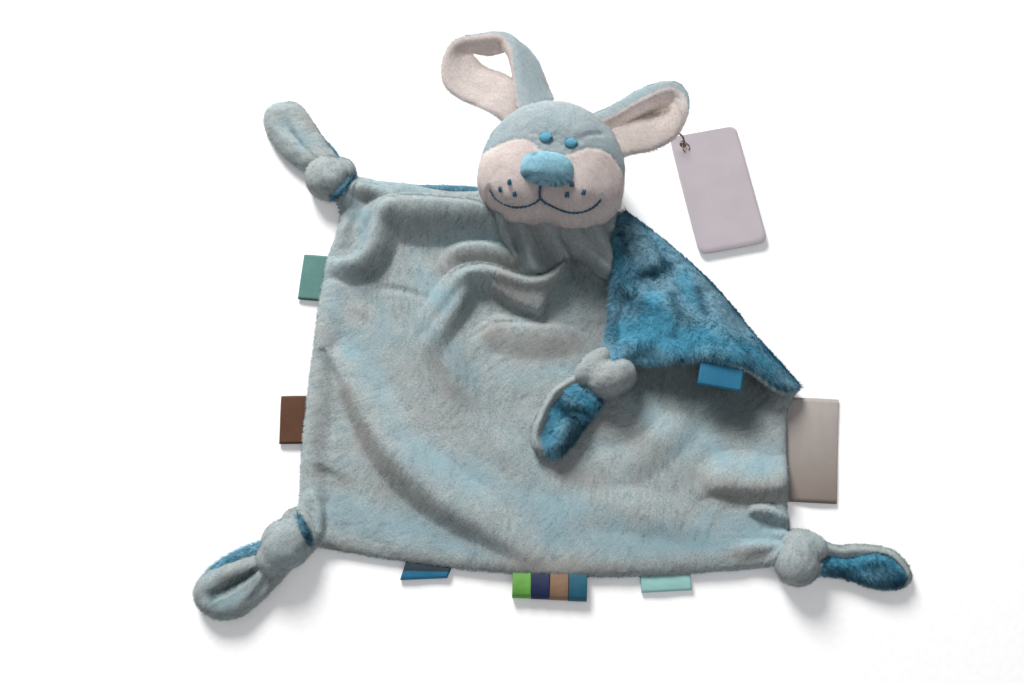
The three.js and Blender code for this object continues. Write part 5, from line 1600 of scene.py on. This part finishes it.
# The far edge of each band, row by row: the left ear keeps a narrow hole open,
# and the right one closes to a pocket.
FAR_EDGE = {"left": [(524, 118, 14), (522, 100, 12), (513, 84, 10), (501, 76, 8), (490, 72, 7),
                     (482, 67.5, 7), (474.5, 60.5, 7), (470, 54.5, 7), (473, 51, 8), (481, 52, 9),
                     (490, 52.5, 9), (498, 51, 9.5), (507, 50, 10), (521, 50, 9), (533, 61, 7),
                     (541, 76, 6), (547, 92, 6), (550, 104, 9), (546, 124, 15)],
            "right": [(590, 144, 12), (600, 136, 4), (614, 130, 3), (630, 122, 3), (643, 116, 3),
                      (654, 112, 3), (663, 108, 3), (669, 106, 3), (672, 107, 3), (671, 111, 3),
                      (667, 112, 3), (661, 113, 3), (652, 115, 3), (641, 117, 3), (630, 121, 3),
                      (616, 127, 5), (604, 138, 12)]}
# Where the right ear's hollow lies in shadow
RIGHT_DARKS = [(4.2, 1.2, [(612, 131), (638, 124), (662, 121), (680, 117)])]
EAR_CLOTHS = []
EAR_ROWS = 120
EAR_ROUND = 27


def ear(side):
    """One ear's loop: an outer cloth and a lining, back to back along its seams."""
    a = np.array(EAR[side], float)
    seam = spot(a[:, 0], a[:, 1], a[:, 2])
    far = np.array(FAR_EDGE[side], float)
    line = Line(np.c_[seam, a[:, 3], spot(far[:, 0], far[:, 1], far[:, 2])])
    t = np.linspace(0, 1, EAR_ROWS)
    p = line(t)[:, :3]
    leaning = line(t)[:, 3]
    tan = line.along(t)[:, :3]
    tan[:, 2] = 0
    tan = unit(tan)
    fade = np.sqrt(clamp(np.minimum(t, 1 - t) / 0.05) * 0.9 + 0.1)[:, None]
    h = p - line(t)[:, 4:7]
    half = 0.5 * np.linalg.norm(h, axis=1)[:, None] * mix(0.85, 1.0, fade)
    h = unit(h)
    q = unit(np.cross(h, tan))
    mid = p - h * half
    puff = 1 + 0.14 * noise(mid, 11, 101)[:, None]
    inner = clamp((leaning - 12) / 20)[:, None]
    if side == "left":
        thick_out = mix(5.0, 3.2, ease((leaning + 10) / 30))[:, None]
        thick_in = mix(4.4, 4.2, ease((leaning + 10) / 30))[:, None]
    else:
        thick_out = mix(8.0, 1.8, ease((t - 0.3) / 0.3))[:, None]
        thick_in = mix(3.6, 5.2, ease((t - 0.35) / 0.3))[:, None]

    def nap(at, n):
        """The pile runs up both arms of the loop to its top."""
        row = np.argmin(((at[:, None, :2] - mid[None, ::4, :2]) ** 2).sum(2), 1) * 4
        d = tan[row.clip(0, len(tan) - 1)] * np.where(row < len(tan) * 0.5, 1, -1)[:, None]
        return along_surface(d + 0.8 * nap_of(at, n, turn=1.6, size=12, seed=105), n)

    b = np.linspace(-math.pi / 2, math.pi / 2, EAR_ROUND)
    ca, sa = np.cos(b) ** 0.55, np.sin(b)
    for which, thick, kind in (("outer", thick_out, "crown"), ("lining", thick_in, "lining")):
        sign = 1 if which == "outer" else -1
        tall = half * (1 + (0.07 * inner if which == "lining" else -0.02 * inner))
        v = (mid[:, None] + h[:, None] * (sa[None, :, None] * tall[:, None])
             + q[:, None] * (sign * ca[None, :, None] * (thick * puff * fade)[:, None])).reshape(-1, 3)
        v[:, 2] = np.maximum(v[:, 2], 0.6)
        f = facing_along(v, quads(EAR_ROUND, EAR_ROWS), np.repeat(q * sign, EAR_ROUND, 0))
        tone = clamp(0.6 * noise(v, 12, 103) + (0.2 if which == "outer" else -0.1), -1, 1)
        # Painted shade on the linings: towards the inner edge by the hole, a little all over, and on the
        # right ear in its hollow and down its lower arm
        dark = 0.3 * clamp((-np.tile(sa, EAR_ROWS) - 0.55) / 0.4) * (which == "lining")
        if side == "right" and which == "lining":
            low = clamp((17 - v[:, 2]) / 9)
            dark = dark + 0.12 + low * painted(bands_of(RIGHT_DARKS, 4), v[:, 0], v[:, 1], 107)
            dark = clamp(dark + 0.22 * np.repeat(ease((t - 0.5) / 0.1), EAR_ROUND), 0, 1.1)
        elif which == "lining":
            dark = dark + 0.17
        made = dress(f"ear_{side}_{which}_cloth", v, f, kind, None, [f"ear_{side}_{which}"], per_mm2=4.8,
                     length=1.7, tone=tone, dark=dark, width=0.3, lean=1.12, seed=106, nap=nap, flat=0.4,
                     locks=0.6)
        EAR_CLOTHS.extend(made)
        for o in made:
            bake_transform(o)


ear("left")
ear("right")


# Neck cloth
NECK = [(-33, 88), (-27, 72), (-21, 62), (-15.5, 52.5), (-11, 50), (-4, 51), (3, 53), (9, 56), (13, 60),
        (20, 56), (27, 49.5), (31.5, 50), (34, 62), (36, 88)]
NECK_COLUMNS, NECK_ROWS = 190, 90
neck_line = Line(NECK)
tn = np.linspace(0, 1, NECK_COLUMNS)
hem = neck_line(tn)
chin = np.c_[mix(-30, 32, tn), 92 - 3 * np.sin(np.pi * tn), 0 * tn]
neck_plan = mix(hem[None], chin[None], np.linspace(0, 1, NECK_ROWS)[:, None, None]).reshape(-1, 3)
nx, ny = neck_plan[:, 0], neck_plan[:, 1]
NECK_FOLDS = folds_of([
    [(488, 206, 10, 8, 7), (500, 226, 7.5, 8, 7), (508, 240, 4.5, 7, 5), (513, 252, 1.5, 6, 5)],
    [(514, 208, 14, 11, 8), (521, 228, 12, 10, 6), (527, 247, 11, 9, 5), (532, 262, 9.5, 9, 4.5),
     (537, 270, 8, 9, 4.5)],
    [(540, 214, 14, 9, 10), (554, 234, 10.5, 6, 9), (564, 249, 10.5, 4.5, 9), (569, 258, 9.5, 4, 9)],
    [(556, 216, 18, 18, 5), (567, 233, 17.5, 20, 3.4), (581, 251, 16.5, 20, 3.0),
     (595, 264, 15.5, 18, 2.8), (606, 272, 14, 14, 2.8)],
    [(585, 215, 15, 9, 8), (598, 235, 13, 8, 7), (610, 255, 12, 6, 6)],
], 8)
hem_d = near(neck_line(np.linspace(0, 1, 90))[:, :2], nx, ny)[0]
# The cloth lies over the blanket's folds, but not over the pouch's crest
NECK_GROUND = FOLD_LINES[:5] + FOLD_LINES[7:]
floor_z = 6.0 + ridges(NECK_GROUND, nx, ny)
neck_rise = ridges(NECK_FOLDS, nx, ny) + 2.2 + 0.25 * clamp(ny - 60, 0, 30)
neck_z = floor_z + neck_rise * rounded(hem_d, 3.0) + 0.3 * noise(neck_plan[:, :2], 6, 111)
neck_z = np.minimum(neck_z, floor_z + np.maximum(25 - floor_z, 1))
neck_v = np.c_[nx, ny, neck_z]
neck_f = facing(neck_v, quads(NECK_COLUMNS, NECK_ROWS), 1)
neck_tone = clamp(0.05 + 0.3 * noise(neck_v, 9, 112), -1, 1)
# Painted shade in the hollow at the left of the neck cloth
neck_shade = clamp(painted(bands_of([(6, 0.3, [(512, 246), (518, 262)])], 12), nx, ny, 115))


def nap_neck(p, n):
    """The neck cloth's pile hangs down from the chin."""
    return nap_of(p, n, base=-1.2, turn=0.8, size=14, seed=114)


neck_cloth, neck_pile = dress("neck_cloth", neck_v, neck_f, "ivory", None, ["neck_gather"], per_mm2=4.4,
                              length=1.6, tone=neck_tone, dark=neck_shade, width=0.32, lean=1.15, seed=113,
                              flat=0.22, nap=nap_neck)
# It goes over from the blanket to the head between its hem and the chin
for o in (neck_cloth, neck_pile):
    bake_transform(o)


# Ribbons and label
ON_FLOOR = 0.25
FOLD_ROWS = 13
LEG_ROWS = 16
RIBBON_COLUMNS = 25


def ribbon_profile(reach, inner, length, height, puff):
    """The ribbon's side view: out along the floor, round the fold and back on top."""
    lower = [(x, 0.0) for x in np.linspace(inner, reach, LEG_ROWS)]
    arc = [(reach + math.sin(a) * height / 2, height / 2 - math.cos(a) * height / 2)
           for a in np.linspace(0, math.pi, FOLD_ROWS)[1:-1]]
    upper = [(x, height) for x in np.linspace(reach, inner, LEG_ROWS)]
    prof = np.array(lower + arc + upper)
    on_top = prof[:, 1] > height / 2
    bulge = puff * np.sin(np.pi * clamp(prof[:, 0] / max(length, 1))) * np.where(on_top, 1, 0)
    sag = np.where(on_top, 1, 0.0) * (0.35 * clamp(-prof[:, 0] / 4)) * height
    return np.c_[prof[:, 0], prof[:, 1] + bulge - sag]


def slab(mid, thick):
    """A closed sheet of some thickness about a grid of points, rows first."""
    rows, columns = mid.shape[:2]
    normals = unit(np.cross(np.gradient(mid, axis=0), np.gradient(mid, axis=1)))
    above = (mid + normals * thick / 2).reshape(-1, 3)
    below = (mid - normals * thick / 2).reshape(-1, 3)
    total = len(above)
    last = (rows - 1) * columns
    loop = [*range(columns)]
    loop += [i * columns + columns - 1 for i in range(1, rows)]
    loop += [last + j for j in range(columns - 2, -1, -1)]
    loop += [i * columns for i in range(rows - 2, 0, -1)]
    rim = [[x, x + total, y + total, y] for x, y in zip(loop, loop[1:] + loop[:1])]
    faces = np.vstack([quads(columns, rows), quads(columns, rows)[:, ::-1] + total, np.array(rim)])
    return np.vstack([above, below]), faces


def ribbon(name, node, body, kind, mid, deg, width, length, seed, z0=ON_FLOOR, height=2.0, puff=0.3,
           skew=0.0, thick=0.45, inner=-2.4, shear=0.0):
    """A ribbon folded in half, its two ends sewn into the edge and its fold outwards."""
    prof = ribbon_profile(length - height / 2, inner, length, height, puff)
    across = np.linspace(-0.5, 0.5, RIBBON_COLUMNS)
    down = np.r_[0, np.cumsum(np.linalg.norm(np.diff(prof, axis=0), axis=1))]
    out = clamp(prof[:, :1] / length)
    x = prof[:, 0][:, None] + 0 * across + skew * across[None] * out
    y = across[None] * width + shear * out
    wave = 0.18 * np.sin(across * 7 + seed)[None] * out * (prof[:, 1:2] > height / 2)
    z = z0 + thick / 2 + prof[:, 1][:, None] + 0 * across + wave
    v, f = slab(np.stack([x, y, z], -1), thick)
    v = np.c_[(*placed(v[:, 0], v[:, 1], mid, math.radians(deg)), v[:, 2])]
    rows = len(prof)
    if kind == "label":
        # Painted shade: the label darkens towards its lower edge
        shaded = np.tile(np.tile(clamp(0.42 - across), rows), 2)
    else:
        # Painted shadow of the blanket's hem over the sewn end of the bottom blue tag
        hem_shadow = 0.97 * ease((3.8 - prof[:, 0]) / 0.9) * (shear != 0)
        shaded = np.tile(np.repeat(hem_shadow, RIBBON_COLUMNS), 2)
    o = build(name, v, f, RIBBON[kind], across=np.tile(np.tile(across * width, rows), 2),
              down=np.tile(np.repeat(down, RIBBON_COLUMNS), 2),
              edge=np.tile(np.tile(ease((np.abs(across) - 0.44) / 0.05), rows), 2), shaded=shaded)
    outwards(o)
    stands(o, body, node)


ribbon("ribbon_left_mint", "tag_left_mint", "mint_tag", "mint", mid=(-122.8, 51.5), deg=175, width=25,
       length=12, seed=121)
ribbon("ribbon_left_brown", "tag_left_brown", "brown_tag", "brown", mid=(-129.4, -26), deg=181, width=25,
       length=12, seed=122)
ribbon("ribbon_bottom_blue", "tag_bottom_blue", "blue_tag", "blue", mid=(-62.8, -100.3), deg=266,
       width=23.2, length=6.9, seed=123, height=2.2, puff=0.4, skew=-2.6, shear=-1.9)
for i, shade in enumerate(("green", "navy", "tan", "teal")):
    ribbon(f"ribbon_bottom_{shade}", f"tag_bottom_{shade}", "ribbon_loops", shade,
           mid=(-16.2 + i * 9.3, -106.4), deg=268, width=9.1, length=10 + i * 0.5, seed=124 + i,
           height=4.4, puff=0.8)
ribbon("ribbon_bottom_mint", "tag_bottom_mint", "low_mint_tag", "light_mint", mid=(55.5, -105.6), deg=273,
       width=25, length=7.5, seed=128)
ribbon("ribbon_folded_blue", "tag_folded_blue", "folded_blue_tag", "blue", mid=(86, -0.6), deg=260,
       width=22, length=13, seed=129, z0=19.5, height=1.8)
ribbon("side_label_cloth", "side_label", "label", "label", mid=(125.4, -41.4), deg=-3, width=54.5,
       length=21.4, seed=130, height=1.0, puff=0.5, thick=0.4, skew=2.6, inner=-9.0)

# Hang card: its frame has the hole's middle as origin
HOLE = (74.4, 130.3)
CARD_TURN = math.radians(11)
CARD_LEFT, CARD_RIGHT, CARD_LOW, CARD_TOP = -6.5, 31.5, -65.5, 5.5
CARD_ROUND = 4.0
CARD_THICK = 1.2
CARD_BEVEL = 0.14
CARD_Z = 1.7
HOLE_R = 2.0
CARD_POINTS = 160
CARD_RINGS = 26


def card_outline():
    """The card's outline with round corners, walked evenly."""
    left, right = CARD_LEFT + CARD_ROUND, CARD_RIGHT - CARD_ROUND
    low, top = CARD_LOW + CARD_ROUND, CARD_TOP - CARD_ROUND
    points = []
    for cx, cy, start in ((right, top, 0), (left, top, 90), (left, low, 180), (right, low, 270)):
        for deg in np.linspace(start, start + 90, 9):
            a = math.radians(deg)
            points.append((cx + CARD_ROUND * math.cos(a), cy + CARD_ROUND * math.sin(a)))
    line = Line(np.array(points + points[:1]))
    return line(np.linspace(0, 1, CARD_POINTS + 1))[:-1, :2]


def card_shape():
    """Rings from the hole out over the face, down the edge and back in below."""
    walk = card_outline()
    a = np.arctan2(walk[:, 1], walk[:, 0])
    hole = HOLE_R * np.stack([np.cos(a), np.sin(a)], 1)

    def ring(t, inset, z):
        inner = hole * (1 + inset / 2.0)
        outer = walk * (1 - inset / np.linalg.norm(walk, axis=1, keepdims=True))
        return np.c_[mix(inner, outer, t), np.full(CARD_POINTS, z)]

    steps = np.linspace(0, 1, CARD_RINGS) ** 1.3
    back = np.linspace(1, 0, CARD_RINGS) ** 1.3
    rings = [ring(t, CARD_BEVEL, CARD_THICK) for t in steps]
    rings += [ring(1.0, 0.0, CARD_THICK - CARD_BEVEL), ring(1.0, 0.0, CARD_BEVEL)]
    rings += [ring(t, CARD_BEVEL, 0.0) for t in back]
    rings += [ring(0.0, 0.0, CARD_BEVEL), ring(0.0, 0.0, CARD_THICK - CARD_BEVEL)]
    return np.vstack(rings), np.vstack([quads(CARD_POINTS, len(rings), wrap=True),
                                        closing(CARD_POINTS, len(rings))])


def card_material():
    """Pressed board: fine fibre, a faint cloudiness and a paler cut edge."""
    k = Nodes("card_board")
    fibre = k.noise(0.35, None, 4, 0.7)
    cloud = k.noise(14, None, 2)
    c = k.mix(k.span(fibre, 0.3, 0.7), rgb(174, 165, 171), rgb(186, 178, 184))
    c = k.mix(k.span(cloud, 0.35, 0.65, 0, 0.35), c, rgb(166, 158, 164))
    c = k.mix(k.attr("edge"), c, rgb(190, 184, 183))
    k.bump(fibre, 0.12, 0.12)
    return k.finish(c, k.span(fibre, 0.3, 0.7, 0.42, 0.55), 0.4)


card_l, card_f = card_shape()
bend = 0.35 * ((card_l[:, 0] - 12) / 20) ** 2 + 0.5 * bell(card_l[:, 1] + 66, 26)
card_v = np.c_[(*placed(card_l[:, 0], card_l[:, 1], HOLE, CARD_TURN), CARD_Z + card_l[:, 2] + bend * 0.6)]
cut_edge = np.where((card_l[:, 2] > 0.05) & (card_l[:, 2] < 1.1), 0.8, 0.0)
card = build("hang_card_board", card_v, card_f, card_material(), edge=cut_edge)
outwards(card)
stands(card, "hanging_card", "hang_card")


def string_parts():
    """Two strands twisted through the hole and up into the ear, a knot and a loose end."""
    x, y = HOLE
    core = Line([(x, y, 1.1), (x, 130.4, 3.4), (74.2, 131.6, 6.0), (72.6, 132.6, 9.0),
                 (70.0, 133.2, 11.0), (66.5, 134.0, 12.6)])
    t = np.linspace(0, 1, 90)
    parts = []
    for start in (0.0, np.pi):
        off = 0.34 * np.stack([np.cos(t * 34 + start), np.sin(t * 34 + start), 0 * t], 1)
        parts.append(tube(core(t) + off, np.full((90, 2), 0.36), 8, up=(0.3, 1, 0.2)))
    a = np.linspace(0, 2 * np.pi, 40, endpoint=False)
    wide = 1.15 + 0.5 * np.cos(3 * a)
    high = 0.85 + 0.25 * np.sin(3 * a)
    knot_path = np.stack([x + wide * np.cos(2 * a), y + wide * np.sin(2 * a), high], 1)
    parts.append(tube(knot_path, np.full((40, 2), 0.42), 8, closed=True))
    b = np.linspace(-0.6, 4.4, 40)
    loop = np.stack([75.8 + 1.9 * np.cos(b), 128.2 + 2.4 * np.sin(b), 3.4 + 0.2 * np.sin(2 * b)], 1)
    parts.append(tube(loop, np.full((40, 2), 0.32), 7))
    return parts


v, f = joined(*string_parts())
string_mat = thread_material("string_yarn", rgb(150, 112, 98), rgb(92, 60, 50))
stands(build("card_string_twist", v, f, string_mat), "right_ear", "card_string")


def filling_material():
    """Fibre filling."""
    k = Nodes("stuffing_fibre")
    wool = k.noise(1.2, None, 5, 0.7)
    c = k.mix(k.span(wool, 0.3, 0.7), rgb(214, 212, 208), rgb(246, 245, 242))
    k.bump(wool, 0.8, 1.0)
    return k.finish(c, 0.95, 0.1)


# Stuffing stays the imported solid, hidden inside the head
filling = filling_material()
for held in bpy.data.objects["head_stuffing"].material_slots:
    held.material = filling


# Floor and light
FLOOR_HALF = 3000
FLOOR_Z = -0.05
FLOOR_GLOW = 0.12
WORLD_COLOUR = (0.96, 0.97, 1.0, 1)
WORLD_STRENGTH = 0.32
# Each lamp: its place and aim in metres, its width, its power and its colour
LAMPS = {
    "window": ((-0.50, 1.28, 0.94), (0, 0, 0), 0.62, 37, (1.0, 0.99, 0.97)),
    "fill": ((0.3, -0.5, 1.6), (0, 0, 0), 1.6, 3, (0.97, 0.98, 1.0)),
    "ear_card": ((0.45, -0.75, 0.8), (0.0, 0.15, 0.02), 1.0, 3.6, (1.0, 0.99, 0.98)),
}


def floor_material():
    """White paper with a faint glow, which keeps the background white."""
    k = Nodes("floor_paper")
    grain = k.noise(3, None, 3)
    k.finish(k.mix(k.span(grain, 0.3, 0.7), rgb(244, 244, 244), rgb(250, 250, 250)), 0.9, 0.1)
    k.bsdf.inputs["Emission Color"].default_value = (1, 1, 1, 1)
    k.bsdf.inputs["Emission Strength"].default_value = FLOOR_GLOW
    return k.m


def lamp(name):
    """A round lamp that looks at its aim."""
    at, to, size, watts, colour = LAMPS[name]
    d = bpy.data.lights.new(name, "AREA")
    d.shape = "DISK"
    d.size = size
    d.energy = watts
    d.color = colour
    o = bpy.data.objects.new(name, d)
    scene.collection.objects.link(o)
    o.location = at
    o.rotation_euler = (Vector(to) - Vector(at)).to_track_quat("-Z", "Y").to_euler()
    return o


floor_v = [[x * FLOOR_HALF, y * FLOOR_HALF, FLOOR_Z] for x, y in ((-1, -1), (1, -1), (1, 1), (-1, 1))]
build("floor", floor_v, np.array([[0, 1, 2, 3]]), floor_material())
lamp("window")
lamp("fill")

# A soft card lights the inside of the ears only, and the ears do not shade themselves
ears_lit = bpy.data.collections.new("ears_lit")
for o in EAR_CLOTHS:
    ears_lit.objects.link(o)
    o.visible_shadow = False
lamp("ear_card").light_linking.receiver_collection = ears_lit

world = bpy.data.worlds.new("room")
scene.world = world
world.use_nodes = True
background = world.node_tree.nodes["Background"]
background.inputs[0].default_value = WORLD_COLOUR
background.inputs[1].default_value = WORLD_STRENGTH
scene.view_settings.view_transform = "Standard"
scene.view_settings.look = "None"
scene.view_settings.exposure = 0.0
